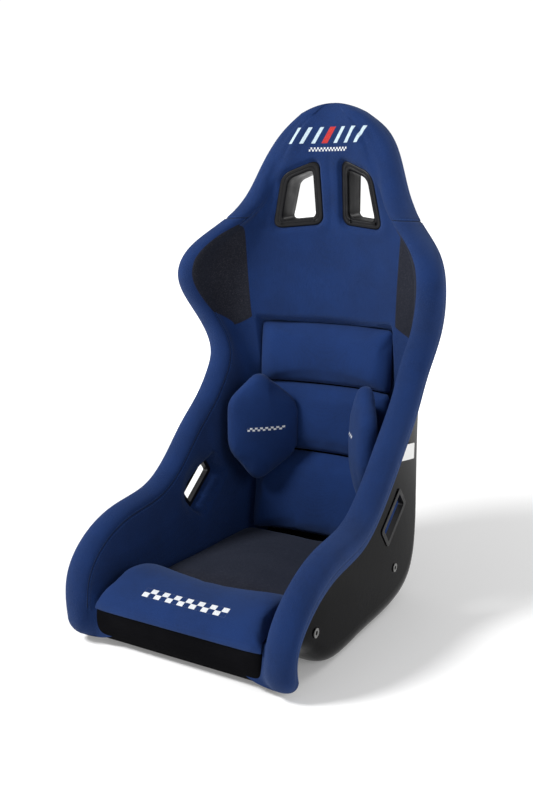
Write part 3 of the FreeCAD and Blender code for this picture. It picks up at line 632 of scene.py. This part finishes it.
def makeCover():
    places, right, apart = coverGrid()
    rows, half = right.shape[:2]
    across = arcLength(right, 1)
    along = arcLength(right, 0)
    joins = np.cumsum(cover["counts"])
    joinArc = across[:, joins[1]][:, None]
    depth = np.zeros((rows, half))
    inner = across - joinArc - cover["stitchGap"]
    lengthwise = smooth((places - 0.7) / 0.5) * smooth((14.6 - places) / 0.8)
    depth += groove(inner, cover["seamWidth"]) * lengthwise[:, None]
    faded = 40 * (1 - lengthwise)[:, None]
    # seam across the roll between the wing and the head
    crossSeam = along - along[np.searchsorted(places, cover["crossSeamPlace"])][None, :]
    onRoll = (np.arange(half) > joins[1] + 2)[None, :]
    depth += groove(crossSeam, cover["seamWidth"]) * onRoll
    hem = across - across[:, joins[4]][:, None] + cover["hemGap"]
    depth += 0.35 * groove(hem, cover["seamWidth"])
    depth *= cover["seamDepth"]
    right = sinkSeams(right, depth)
    choices = np.stack([np.abs(inner) + faded, np.where(onRoll, np.abs(crossSeam), 99), np.abs(hem)])
    nearest = choices.argmin(0)
    travelled = np.where(nearest == 1, across, along)
    seam = np.stack([choices.min(0), travelled, 0 * travelled], -1)
    right[:, 0, 0] = 0
    left = right[:, :0:-1] * np.array([-1, 1, 1])
    grid = np.concatenate([left, right], axis=1)
    keep = np.concatenate([apart[:, :0:-1], apart], axis=1) > cover["holeEdge"]
    keep |= ~between(places, cover["headPlaces"])[:, None]
    z, x = grid[..., 2], np.abs(grid[..., 0])
    front = places[:, None] < cover["frontPlace"]
    keep &= ~((x < cover["panelHalf"]) & ((z < cover["panelTop"]) | front))
    inFace = np.abs(np.arange(grid.shape[1]) - (half - 1))[None, :] < joins[1] + 3
    keep &= ~(inFace & (lapDistance(grid[..., 1], z) < 0.6 - lapOpening["frame"]))

    crown = crownRows(grid[-1])
    sill = sillRows(grid[0])
    full = np.concatenate([sill, grid, crown]) * mm
    seam = np.concatenate([seam[:, :0:-1], seam], axis=1)
    plain = np.array([99.0, 0, 0])
    seam = np.concatenate([0 * sill + plain, seam, 0 * crown + plain]) * mm
    keep = np.concatenate([np.repeat(keep[:1], len(sill), 0), keep, np.ones(crown.shape[:2], bool)])
    quads = gridQuads(*full.shape[:2])
    quads = quads[keep.reshape(-1)[quads].all(axis=1)]
    quads = sheetFaces(full, quads, np.array([0, -1.0, 0.2]))
    # the back of the crown, from hem to hem
    hemRows = np.concatenate([grid[-7:-1], crown[:-1]]) * mm
    u = np.linspace(0, 1, 25)[None, :, None]
    backSheet = hemRows[:, :1] * (1 - u) + hemRows[:, -1:] * u
    width = np.linalg.norm(hemRows[:, :1] - hemRows[:, -1:], axis=-1, keepdims=True)
    backSheet[..., 1:2] += 0.24 * width * u * (1 - u)
    backQuads = sheetFaces(backSheet, gridQuads(*backSheet.shape[:2]), np.array([0, 1.0, 0.1]))
    points = np.concatenate([full.reshape(-1, 3), backSheet.reshape(-1, 3)])
    faces = np.concatenate([quads, backQuads + full.shape[0] * full.shape[1]])
    uvFull = np.stack([arcLength(full, 1), arcLength(full, 0)], -1)
    uvBack = np.stack([arcLength(backSheet, 1), arcLength(backSheet, 0)], -1)
    uv = np.concatenate([uvFull.reshape(-1, 2), uvBack.reshape(-1, 2)])
    seam = np.concatenate([seam.reshape(-1, 3), 0 * backSheet.reshape(-1, 3) + plain * mm])
    n = clothMaterial("coverCloth", **blueCloth)
    seamLines(n, (0.022, 0.06, 0.2, 1))
    headBars(n)
    checkBand(n, (0.0, 0.7875), (0.0375, 0.0035), (0.003125, 0.0035), behind=0.3)
    return makePiece("seatCover", points, faces, "shell", n.material, uv, seam)


def crownRows(last):
    # Dome over the last row: scaled towards its middle by c while rising by crownRise*(1 - c^2).
    scale = np.cos(np.linspace(0, math.pi / 2, 22))[1:, None, None]
    middle = np.array([0, 0.5 * (last[:, 1].min() + last[:, 1].max()), 0])
    flat = last * np.array([1, 1, 0])
    level = last[:, 2][None, :, None] * np.array([0, 0, 1])
    peak = last[:, 2].mean()
    rows = (flat[None] - middle) * scale + middle
    height = (level[..., 2:] - peak) * scale + peak + bucket["crownRise"] * (1 - scale ** 2)
    rows[..., 2:] = height
    return rows


def sillRows(first):
    # Closed lower ends: c + (p - c)*cos(t) + down*drop*sin(t), with c on the middle line of each roll.
    angle = np.linspace(math.pi / 2, 0, 12)[:-1, None, None]
    section = Sections(np.array([bucket["coverStart"]]))
    side = np.sign(first[:, :1]) * section.rollX[0]
    middleY, middleZ = (section.base + section.up * section.rollHeight[:, None])[0]
    c = np.concatenate([side, 0 * side + middleY, 0 * side + middleZ], axis=1)
    down = np.array([0, 0.0, -1.0])
    rows = c + (first - c)[None] * np.cos(angle) ** 0.9 + down * bucket["endDrop"] * np.sin(angle)
    rows[..., 2] = np.maximum(rows[..., 2], 0.6)
    return rows


headMark = {
    "height": 0.812,
    "rowHalf": 0.014,
    "pitch": 0.0215,
    "bars": 7,
    "redBar": 3,
    "redHalf": 0.0058,
    "whiteHalf": 0.0036,
}


def headBars(n):
    # A row of slanted embroidered bars across the head above the strap openings, the middle one red.
    x, y, z = n.add("ShaderNodeSeparateXYZ", {0: n.coords.outputs["Object"]}).outputs
    front = n.math("LESS_THAN", y, 0.2985)
    for index in range(headMark["bars"]):
        centre = (index - (headMark["bars"] - 1) / 2) * headMark["pitch"]
        red = index == headMark["redBar"]
        half = headMark["redHalf"] if red else headMark["whiteHalf"]
        slanted = n.minus(x, n.times(n.minus(z, headMark["height"]), 0.6))
        off = n.math("ABSOLUTE", n.minus(slanted, centre))
        inBar = n.remap(off, half + 0.0004, half - 0.0004)
        away = n.math("ABSOLUTE", n.minus(z, headMark["height"]))
        inRow = n.remap(away, headMark["rowHalf"] + 0.0004, headMark["rowHalf"] - 0.0004)
        mask = n.times(n.times(inBar, inRow), front)
        embroidery(n, mask, (0.5, 0.035, 0.03, 1) if red else (0.55, 0.68, 0.76, 1))


coverPiece = makeCover()
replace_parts(coverPiece, "thigh_bolster_left", "thigh_bolster_right", "hip_bolster_left", "hip_bolster_right",
            "wing_bolster_left", "wing_bolster_right", "headrest_pad", "crown_pad", "upper_back_pad")
print("cover made")

# grip panels on the wings

gripPanel = {
    "from": 10.84,
    "to": 13.84,
    "rows": 90,
    "columns": 40,
    "proud": 1.0,
}


def faceAt(places, x):
    # Points of the cover's face at given half widths; x is [places, columns].
    sections = Sections(places)
    profileX, profileH = rowProfile(sections, (40, 60, 40, 1, 1, 1))
    last = 141
    height = np.stack([np.interp(row, px[:last], ph[:last]) for row, px, ph in zip(x, profileX, profileH)])
    return sections.place(x, height)


def makeGripPanel(side, name):
    # Panel between a straight inner edge and the roll's inner contour, meeting in a point at both ends.
    places = np.linspace(gripPanel["from"], gripPanel["to"], gripPanel["rows"])
    sections = Sections(places)
    low, high = gripPanel["from"], gripPanel["to"]
    inner = np.interp(places, [low, low + 0.32, high], [183, 146, 157])
    roll = sections.rollX - sections.roll
    outward = np.interp(places, [low, low + 0.4, 12.0, 12.6, 13.3, high], [0, 4, 9, 11, 8, 0])
    outer = roll + outward
    outer = np.where(places < low + 0.3, inner + (outer - inner) * smooth((places - low) / 0.3) ** 0.5, outer)
    outer = np.maximum(inner + (outer - inner) * smooth((high + 0.02 - places) / 0.4) ** 0.6, inner + 0.2)
    u = np.linspace(0, 1, gripPanel["columns"])
    x = inner[:, None] + (outer - inner)[:, None] * u
    grid = faceAt(places, x)
    grid[..., 0] *= side
    normal = gridNormals(grid)
    normal *= -1 if np.sum(normal * np.array([-side * 0.3, -1, 0])) < 0 else 1
    v = np.linspace(0, 1, gripPanel["rows"])[:, None]
    edge = np.minimum(np.minimum(u, 1 - u)[None, :] * (outer - inner)[:, None], np.minimum(v, 1 - v) * 190)
    proud = gripPanel["proud"] * (1 - np.exp(-(np.maximum(edge, 0) / 1.6) ** 1.2)) - 0.5
    puff = 1.6 * smooth(edge / 40)
    grid = grid + normal * ((proud + puff) * mm)[..., None]
    quads = sheetFaces(grid, gridQuads(*grid.shape[:2]), np.array([-side * 0.3, -1.0, 0]))
    uv = np.stack([arcLength(grid, 1), arcLength(grid, 0)], -1)
    piece = makePiece(name, grid, quads, "shell", gripMaterial, uv)
    solid = piece.modifiers.new("thickness", "SOLIDIFY")
    solid.thickness, solid.offset = 0.002, -1
    return piece


for side, name in ((-1, "left"), (1, "right")):
    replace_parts(makeGripPanel(side, "gripPanel." + name), "grip_panel_" + name)
print("grip panels made")

# strap bezels


def roundedOutline(corners, rounding, perCorner=9, perSide=8):
    # A polygon whose corners are replaced by quadratic Bezier curves that start rounding before each.
    parts = []
    count = len(corners)
    t = np.linspace(0, 1, perCorner)[:, None]
    for i in range(count):
        before, corner, after = corners[i - 1], corners[i], corners[(i + 1) % count]
        p0 = corner + (before - corner) * rounding / np.linalg.norm(before - corner)
        p2 = corner + (after - corner) * rounding / np.linalg.norm(after - corner)
        parts.append((1 - t) ** 2 * p0 + 2 * t * (1 - t) * corner + t ** 2 * p2)
        end = after + (corner - after) * rounding / np.linalg.norm(corner - after)
        s = np.linspace(0, 1, perSide + 2)[1:-1, None]
        parts.append(p2 + (end - p2) * s)
    return np.concatenate(parts)


def closeUp(piece):
    # Merges the two sheets along their shared rim, fills the small holes and turns the faces outwards.
    shape = bmesh.new()
    shape.from_mesh(piece.data)
    bmesh.ops.remove_doubles(shape, verts=shape.verts, dist=0.0002)
    bmesh.ops.holes_fill(shape, edges=[edge for edge in shape.edges if edge.is_boundary], sides=0)
    bmesh.ops.recalc_face_normals(shape, faces=shape.faces)
    shape.to_mesh(piece.data)
    shape.free()


strapBezel = {
    "windowStart": 12.0,
    # share of the frame's width from its outside, depth behind the face
    "profile": np.array([(0.0, 5.0), (0.0, 1.6), (0.05, 0.2), (0.16, -0.9), (0.34, -1.3), (0.5, -0.9),
                         (0.56, 0.1), (0.62, -0.5), (0.74, -0.6), (0.88, 0.1), (0.97, 1.4), (1.0, 3.5)]),
}


def grown(corners, distance):
    # A convex outline with each side moved outwards: corners where the moved sides cross.
    following = np.roll(corners, -1, axis=0)
    side = following - corners
    normal = np.stack([side[:, 1], -side[:, 0]], 1) / np.linalg.norm(side, axis=1)[:, None]
    reach = np.sum(normal * corners, 1)
    flip = np.sign(reach - normal @ corners.mean(0))
    normal, reach = normal * flip[:, None], reach * flip + distance
    before, reachBefore = np.roll(normal, 1, axis=0), np.roll(reach, 1)
    cross = before[:, 0] * normal[:, 1] - before[:, 1] * normal[:, 0]
    x = (reachBefore * normal[:, 1] - reach * before[:, 1]) / cross
    z = (reach * before[:, 0] - reachBefore * normal[:, 0]) / cross
    return np.stack([x, z], 1)


def makeStrapBezel(side, name):
    # Rolled ring: the profile blends the outer outline into the window's, then runs back as a sleeve.
    corners = strapOpening["corners"]
    outer = roundedOutline(corners, strapOpening["outlineStart"])
    window = roundedOutline(grown(corners, -strapOpening["frame"]), strapBezel["windowStart"])
    rearCorners = strapOpening["rearCorners"]
    end = roundedOutline(grown(rearCorners, -strapOpening["rearFrame"]), strapBezel["windowStart"])
    sleeve = roundedOutline(grown(rearCorners, 2.4 - strapOpening["rearFrame"]), strapBezel["windowStart"])
    rings = []
    for share, depth in strapBezel["profile"]:
        x, z = (outer * (1 - share) + window * share).T
        rings.append(np.stack([x, strapPlane(x, z) + depth, z], 1))
    front, rear = strapPlane(*window.T) + 3.5, strapPlane(*end.T, key="back") + 3.0
    for share in (0.35, 0.7, 1.0):
        x, z = (window * (1 - share) + end * share).T
        rings.append(np.stack([x, front * (1 - share) + rear * share, z], 1))
    rings.append(np.stack([sleeve[:, 0], strapPlane(*sleeve.T, key="back") + 3.0, sleeve[:, 1]], 1))
    rings.append(np.stack([sleeve[:, 0], strapPlane(*sleeve.T) + 5.5, sleeve[:, 1]], 1))
    rings.append(rings[0])
    grid = np.stack(rings) * np.array([side, 1, 1]) * mm
    quads = gridQuads(*grid.shape[:2], wrap=True)
    out = faceNormals(grid.reshape(-1, 3), quads)[3 * grid.shape[1]:4 * grid.shape[1]].sum(0)
    quads = quads if out[1] < 0 else quads[:, ::-1]
    piece = makePiece(name, grid, quads, "shell", bezelPlastic)
    closeUp(piece)
    bevel = piece.modifiers.new("edges", "BEVEL")
    bevel.width, bevel.segments, bevel.limit_method = 0.0006, 2, "ANGLE"
    return piece


for side, name in ((-1, "left"), (1, "right")):
    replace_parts(makeStrapBezel(side, "strapBezel." + name), "strap_bezel_front_" + name)
print("strap bezels made")

# padded pieces

padding = {
    "voxel": 0.005,
    "pressure": 4.0,
    "frames": 20,
}


def pillow(front, back, edgePower=9.0, fullness=2.6):
    # Closed pad between two sheets of points: each leaves the middle by (1-|a|^p)^(1/q)*(1-|b|^p)^(1/q).
    rows, columns = front.shape[:2]
    b = np.linspace(-1, 1, rows)[:, None]
    a = np.linspace(-1, 1, columns)[None, :]
    full = ((1 - np.abs(a) ** edgePower) * (1 - np.abs(b) ** edgePower)) ** (1 / fullness)
    middle = (front + back) / 2
    half = (front - back) / 2 * full[..., None]
    quads = gridQuads(rows, columns)
    points = np.concatenate([(middle + half).reshape(-1, 3), (middle - half).reshape(-1, 3)])
    return points, np.concatenate([quads, quads[:, ::-1] + rows * columns])


def discPad(outline, front, back, rings=26, edgePower=9.0, fullness=2.4):
    # Closed pad inside an outline of (u, v): rings shrink to the middle, each leaving it by (1-r^p)^(1/q).
    r = np.linspace(1, 0.02, rings)[:, None, None]
    middle = outline.mean(0)
    flat = middle + (outline[None] - middle) * r
    full = (1 - r[..., 0] ** edgePower) ** (1 / fullness)
    f, b = front(flat[..., 0], flat[..., 1]), back(flat[..., 0], flat[..., 1])
    m, h = (f + b) / 2, (f - b) / 2 * full[..., None]
    upper, lower = m + h, m - h
    count = len(outline)
    quads = gridQuads(rings, count, wrap=True)
    points = np.concatenate([upper.reshape(-1, 3), lower.reshape(-1, 3)])
    return points, np.concatenate([quads, quads[:, ::-1] + rings * count])


def takeEvaluated(piece):
    # Replaces the mesh by what its modifiers make, and drops them.
    depsgraph = bpy.context.evaluated_depsgraph_get()
    made = bpy.data.meshes.new_from_object(piece.evaluated_get(depsgraph))
    piece.modifiers.clear()
    old, piece.data = piece.data, made
    bpy.data.meshes.remove(old)


def inflate(piece, cap, weight):
    # Voxel remesh, then cloth under pressure; each point moves at most cap, times weight(normals).
    remesh = piece.modifiers.new("even", "REMESH")
    remesh.mode, remesh.voxel_size = "VOXEL", padding["voxel"]
    takeEvaluated(piece)
    start = coordinates(piece.data)
    normals = np.zeros(len(start) * 3)
    piece.data.vertices.foreach_get("normal", normals)
    normals = normals.reshape(-1, 3)
    share = weight(normals)[:, None]
    end = start + normals * cap * 0.5
    cloth = piece.modifiers.new("stuffing", "CLOTH")
    cloth.settings.use_pressure = True
    cloth.settings.uniform_pressure_force = padding["pressure"]
    cloth.settings.effector_weights.gravity = 0
    cloth.settings.quality = 4
    cloth.point_cache.frame_start, cloth.point_cache.frame_end = 1, padding["frames"]
    for number in range(1, padding["frames"] + 1):
        bpy.context.scene.frame_set(number)
    evaluated = piece.evaluated_get(bpy.context.evaluated_depsgraph_get())
    end = coordinates(evaluated.to_mesh())
    evaluated.to_mesh_clear()
    piece.modifiers.clear()
    bpy.context.scene.frame_set(1)
    move = end - start
    size = np.linalg.norm(move, axis=1, keepdims=True)
    move *= np.minimum(1, cap / np.maximum(size, 1e-9)) * share
    made = start + move
    piece.data.vertices.foreach_set("co", made.ravel())
    relax = piece.modifiers.new("relax", "SMOOTH")
    relax.factor, relax.iterations = 0.5, 4
    finer = piece.modifiers.new("finer", "SUBSURF")
    finer.levels = finer.render_levels = 1
    takeEvaluated(piece)
    piece.data.polygons.foreach_set("use_smooth", np.ones(len(piece.data.polygons), bool))


def makePad(name, points, faces, body, material, cap, weight):
    piece = makePiece(name, points, faces, body, material)
    closeUp(piece)
    inflate(piece, cap, weight)
    piece.data.materials.clear()
    piece.data.materials.append(material)
    return piece


# loose back cushions

backCushion = {
    "half": 137.0,
    "breaks": (69.0, 227.0, 357.0, 472.0),
    "faceHeights": (70, 160, 240, 372, 473),
    "faceDepths": (234, 251, 266, 277, 285),
    "hollow": 1.3e-3,
    "crown": (9.0, 9.0, 7.5),
    "cap": 0.005,
}


def backFace(x, z):
    y = np.interp(z, backCushion["faceHeights"], backCushion["faceDepths"])
    return y - backCushion["hollow"] * x * x


def shellFaceY(x, z):
    # y of the shell's inner face at heights z for each column x: the sections' floor curve, looked up.
    places = np.linspace(6.4, 14, 200)
    sections = Sections(places)
    height = 0.9 * sections.hollow[:, None] * x[None, :] ** 2
    y = sections.base[:, 0:1] + sections.up[:, 0:1] * height
    zz = sections.base[:, 1:2] + sections.up[:, 1:2] * height
    return np.stack([np.interp(z, zz[:, i], y[:, i]) for i in range(len(x))], axis=1)


def makeBackCushion(index, name):
    # Pad between two heights; its face bows forward by crown*(1-a^4)*(1-b^2).
    low, high = backCushion["breaks"][index] - 1.6, backCushion["breaks"][index + 1] + 1.6
    a, b = np.linspace(-1, 1, 71)[None, :], np.linspace(-1, 1, 37)[:, None]
    x = a * backCushion["half"] * (1 - 0.012 * np.abs(b) ** 6) + 0 * b
    z = (low + high) / 2 + b * (high - low) / 2 * (1 - 0.02 * np.abs(a) ** 6)
    crown = backCushion["crown"][index] * (1 - np.abs(a) ** 4) * (1 - b ** 2)
    front = np.stack([x, backFace(x, z) - crown + 3.0, z], -1) * mm
    rear = shellFaceY(a[0] * backCushion["half"], b[:, 0] * (high - low) / 2 + (low + high) / 2)
    back = np.stack([x, rear - 4.2, z], -1) * mm
    points, faces = pillow(front, back, edgePower=14.0, fullness=2.6)

    def weight(normals):
        return smooth((-normals[:, 1] + 0.25) / 0.6)
    return makePad(name, points, faces, "back_cushion", blueMaterial,
                   backCushion["cap"], weight)


for index, part in enumerate(("lower", "middle", "upper")):
    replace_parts(makeBackCushion(index, "backCushion." + part), "lumbar_cushion_" + part)
print("back cushions made")

# side pads

sidePad = {
    "outline": np.array([(8, 114), (67, 60), (67, -32), (14, -99), (-71, -42), (-69, 50)], float) * 1.035,
    "rounding": 20.0,
    "height": 273.0,
    "thickness": 33.0,
    "left": (84.0, 201.0, 48.0),
    "right": (102.0, 195.0, 57.0),
    "seating": (261.6, -0.238, 0.12),
    "cap": 0.004,
    "mark": {"left": (-0.0805, 0.281, 0.0245), "right": (0.0955, 0.2925, 0.0105)},
}


def makeSidePad(side, name):
    # Hexagonal pad on a plane turned inwards, cut flat where it sits on the back cushion.
    cx, cy, turn = sidePad[name]
    along = np.array([math.cos(math.radians(turn)), -math.sin(math.radians(turn))])
    outline = roundedOutline(sidePad["outline"], sidePad["rounding"])
    seatY, seatX, seatZ = sidePad["seating"]
    middle = outline.mean(0)

    def sheet(u, v, depth, crown):
        r2 = ((u - middle[0]) / 75) ** 2 + ((v - middle[1]) / 115) ** 2
        inward = depth - crown * np.clip(1 - r2, 0, 1)
        x = cx + along[0] * u - along[1] * inward
        y = cy + along[1] * u + along[0] * inward
        z = sidePad["height"] + v
        y = np.minimum(y, seatY + seatX * (x - 50) + seatZ * (z - 273))
        return np.stack([side * x, y, z], -1) * mm
    points, faces = discPad(outline, lambda u, v: sheet(u, v, 2.0, 6.0),
                            lambda u, v: sheet(u, v, sidePad["thickness"], 0.0))

    def weight(normals):
        return smooth((normals @ np.array([side * along[1], -along[0], 0]) + 0.3) / 0.6)
    n = clothMaterial("sidePadCloth." + name, **blueCloth)
    markX, markZ, markHalf = sidePad["mark"][name]
    checkBand(n, (markX, markZ), (markHalf, 0.0035), (0.0035, 0.0035))
    return makePad("sidePad." + name, points, faces, name + "_side_pad", n.material,
                   sidePad["cap"], weight)


for side, name in ((-1, "left"), (1, "right")):
    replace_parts(makeSidePad(side, name), "side_pad_" + name)
print("side pads made")

# seat and thigh cushions

seatCushion = {
    "half": 147.5,
    "join": -74.0,
    "rear": 232.0,
    "base": 37.6,
    "crown": 5.0,
    "cap": 0.004,
    "thighHalf": 148.5,
    "thighSideRise": 15.0,
    "thighFlare": 9.0,
    "thighTop": ((-218.5, 64), (-223, 74), (-214, 88), (-185, 99), (-140, 104), (-100, 97), (-73, 84)),
    "thighPlaces": (1.40, 1.75, 2.0, 2.5, 3.0, 3.4),
    "thighCrown": 3.0,
    "thighCap": 0.005,
}


def alongLine(points, count):
    # A polyline of (y, z) resampled evenly, after two rounds of corner cutting.
    line = np.asarray(points, float)
    for _ in range(2):
        cut = np.concatenate([line[:-1] * 0.75 + line[1:] * 0.25, line[:-1] * 0.25 + line[1:] * 0.75], 1)
        line = np.concatenate([line[:1], cut.reshape(-1, 2), line[-1:]])
    length = np.concatenate([[0], np.cumsum(np.linalg.norm(np.diff(line, axis=0), axis=1))])
    at = np.linspace(0, length[-1], count)
    return np.stack([np.interp(at, length, line[:, 0]), np.interp(at, length, line[:, 1])], 1)


def acrossSheet(line, half, columns, crown, sink=0.0, rise=0.0, flare=0.0):
    # Carries a (y, z) line across x; it rises by crown*(1-a^2) in the middle and rise*a^2 at the sides.
    a = np.linspace(-1, 1, columns)[None, :]
    x = a * (half + flare * smooth((-178 - line[:, :1]) / 30))
    y = line[:, :1] + 0 * a
    z = line[:, 1:] + crown * (1 - a ** 2) * np.sin(np.linspace(0, math.pi, len(line)))[:, None] - sink
    z = z + rise * a ** 2 * smooth((line[:, :1] + 222) / 80)
    return np.stack([x, y, z], -1) * mm


def upWeight(normals):
    return smooth((normals[:, 2] - 0.45 * normals[:, 1] + 0.3) / 0.6)


def makeSeatCushion():
    rear, front, base = seatCushion["rear"], seatCushion["join"] + 1.2, seatCushion["base"]
    top = alongLine([(front, 83), (-20, 82), (60, 79.5), (140, 77), (rear, 75)], 61)
    bottom = alongLine([(front, base), (rear, base)], 61)
    points, faces = pillow(acrossSheet(top, seatCushion["half"], 67, seatCushion["crown"], 2.0),
                           acrossSheet(bottom, seatCushion["half"], 67, 0.0), edgePower=16.0, fullness=2.8)
    return makePad("seatCushion", points, faces, "seat_cushion", charcoalMaterial,
                   seatCushion["cap"], upWeight)


def makeThighCushion():
    sections = Sections(np.array(seatCushion["thighPlaces"]))
    under = sections.base + sections.up * 7.5
    floor = seatCushion["base"] + 1
    under = np.concatenate([under, [(-100.0, floor), (seatCushion["join"] - 1.2, floor)]])
    top = alongLine(seatCushion["thighTop"], 61)
    bottom = alongLine(under, 61)
    points, faces = pillow(acrossSheet(top, seatCushion["thighHalf"], 67, seatCushion["thighCrown"], 2.5,
                                       seatCushion["thighSideRise"], seatCushion["thighFlare"]),
                           acrossSheet(bottom, seatCushion["thighHalf"], 67, 0.0,
                                       flare=seatCushion["thighFlare"]), edgePower=14.0, fullness=2.5)
    n = clothMaterial("thighCloth", **blueCloth)
    checkBand(n, (0.004, -0.0615), (0.077, 0.0085), (0.011, 0.0085), behind=-0.12, slope=math.radians(45))
    return makePad("thighCushion", points, faces, "seat_cushion", n.material,
                   seatCushion["thighCap"], upWeight)


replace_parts(makeSeatCushion(), "seat_cushion")
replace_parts(makeThighCushion(), "thigh_cushion")
print("seat cushions made")

# black band over the front edge

frontBand = {
    "half": 156.0,
    "from": 0.0,
    "to": 1.42,
    "height": 13.0,
    "hang": 10.0,
    "tuck": 14.0,
}


def makeFrontBand():
    # Padded band: height*(1-|a|^8)^(1/2) above the shell, rounded under at its lower edge.
    places = np.linspace(frontBand["from"], frontBand["to"], 26)
    sections = Sections(places)
    a = np.linspace(-1, 1, 81)[None, :]
    v = np.linspace(0, 1, 26)[:, None]
    x = a * frontBand["half"] + 0 * v
    edge = np.sqrt(np.clip(1 - np.abs(a) ** 14, 0, 1)) * np.clip(1 - (1 - v) ** 8, 0, 1) ** 0.5
    rise = np.interp(np.abs(x), [0, 110, 140, 158], [0, 0, 2.0, 3.0])
    grid = sections.place(x, 2.0 + (frontBand["height"] + rise - 2.0) * edge)
    grid[..., 2] = np.maximum(grid[..., 2] - frontBand["hang"] * mm * (1 - v) ** 2, 0.001)
    grid[..., 1] += frontBand["tuck"] * mm * (1 - v) ** 3
    quads = sheetFaces(grid, gridQuads(*grid.shape[:2]), np.array([0, -1.0, 0]))
    uv = np.stack([arcLength(grid, 1), arcLength(grid, 0)], -1)
    piece = makePiece("frontBand", grid, quads, "shell", blackMaterial, uv)
    solid = piece.modifiers.new("thickness", "SOLIDIFY")
    solid.thickness, solid.offset = 0.002, -1
    return piece


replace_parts(makeFrontBand(), "front_band")
print("front band made")

# camera, floor, light

camera = {
    "azimuth": 30.6,
    "elevation": 12.3,
    "distance": 1.62,
    "target": (0.0, 0.062, 0.37),
    "lens": 43.2,
}


def makeCamera():
    data = bpy.data.cameras.new("camera")
    data.lens, data.sensor_width = camera["lens"], 36.0
    a, e = math.radians(camera["azimuth"]), math.radians(camera["elevation"])
    back = Vector((math.sin(a) * math.cos(e), -math.cos(a) * math.cos(e), math.sin(e)))
    obj = bpy.data.objects.new("camera", data)
    obj.location = Vector(camera["target"]) + back * camera["distance"]
    obj.rotation_mode = "QUATERNION"
    obj.rotation_quaternion = (-back).to_track_quat("-Z", "Y")
    bpy.context.scene.collection.objects.link(obj)
    bpy.context.scene.camera = obj


def areaLight(name, place, target, size, power, colour=(1, 1, 1)):
    data = bpy.data.lights.new(name, "AREA")
    data.shape, data.size, data.energy, data.color = "DISK", size, power, colour
    obj = bpy.data.objects.new(name, data)
    obj.location = place
    obj.rotation_mode = "QUATERNION"
    obj.rotation_quaternion = (Vector(target) - Vector(place)).to_track_quat("-Z", "Y")
    bpy.context.scene.collection.objects.link(obj)


studio = {
    "ambient": 0.42,
    "backdrop": 1.05,
    "floorGlow": 0.16,
    "lights": {
        "key": ((-1.6, -1.8, 2.5), (0, 0, 0.45), 0.9, 120),
        "fill": ((2.5, -1.4, 1.4), (0, 0, 0.4), 1.4, 20),
        "rim": ((1.2, 2.0, 1.9), (0, 0.1, 0.5), 1.0, 16),
    },
}


def makeStudio():
    n = Nodes("studioFloor")
    n.surface("Base Color", (0.86, 0.86, 0.86, 1))
    n.surface("Roughness", 0.9)
    n.surface("Emission Color", (1, 1, 1, 1))
    away = n.add("ShaderNodeVectorMath", {0: n.coords.outputs["Object"]}, operation="LENGTH").outputs["Value"]
    n.surface("Emission Strength", n.remap(away, 0.7, 2.2, studio["floorGlow"], 1.0))
    mesh = bpy.data.meshes.new("studioFloor")
    mesh.from_pydata([(-30, -30, 0), (30, -30, 0), (30, 30, 0), (-30, 30, 0)], [], [(0, 1, 2, 3)])
    mesh.materials.append(n.material)
    floor = bpy.data.objects.new("studioFloor", mesh)
    bpy.context.scene.collection.objects.link(floor)
    world = bpy.data.worlds.new("studio")
    world.use_nodes = True
    background = world.node_tree.nodes["Background"]
    background.inputs[0].default_value = (1, 1, 1, 1)
    path = world.node_tree.nodes.new("ShaderNodeLightPath")
    strength = world.node_tree.nodes.new("ShaderNodeMapRange")
    strength.inputs[3].default_value, strength.inputs[4].default_value = studio["ambient"], studio["backdrop"]
    world.node_tree.links.new(path.outputs["Is Camera Ray"], strength.inputs[0])
    world.node_tree.links.new(strength.outputs[0], background.inputs[1])
    bpy.context.scene.world = world
    for name, light in studio["lights"].items():
        areaLight(name, *light)


makeCamera()
makeStudio()
bpy.context.scene.view_settings.view_transform = "Standard"

# CAD parts that stay

gelCoat = gelCoatMaterial("gelCoat")
plated = steelMaterial("zincPlate", (0.16, 0.16, 0.16), (0.34, 0.34, 0.33))
blackened = steelMaterial("blackenedSteel", (0.012, 0.012, 0.013), (0.03, 0.03, 0.032))
tape = tapeMaterial("tape")
film = filmMaterial("film")
finishes = {
    "shell_gloss_black": gelCoat,
    "bezel_black": bezelPlastic,
    "steel": plated,
    "fastener_black": tape,
    "label_white": film,
    "cover_black": foamMaterial,
    "cover_blue": blueMaterial,
    "cover_charcoal": charcoalMaterial,
}


def finishCadParts():
    slots = {row["node"]: row["material_slot"] for row in frame["record"]["subparts"]}
    for name, obj in frame["nodes"].items():
        for index in range(max(len(obj.material_slots), 1)):
            if obj.material_slots:
                finish = blackened if "screws" in name else finishes[slots[name]]
                obj.material_slots[index].material = finish


finishCadParts()
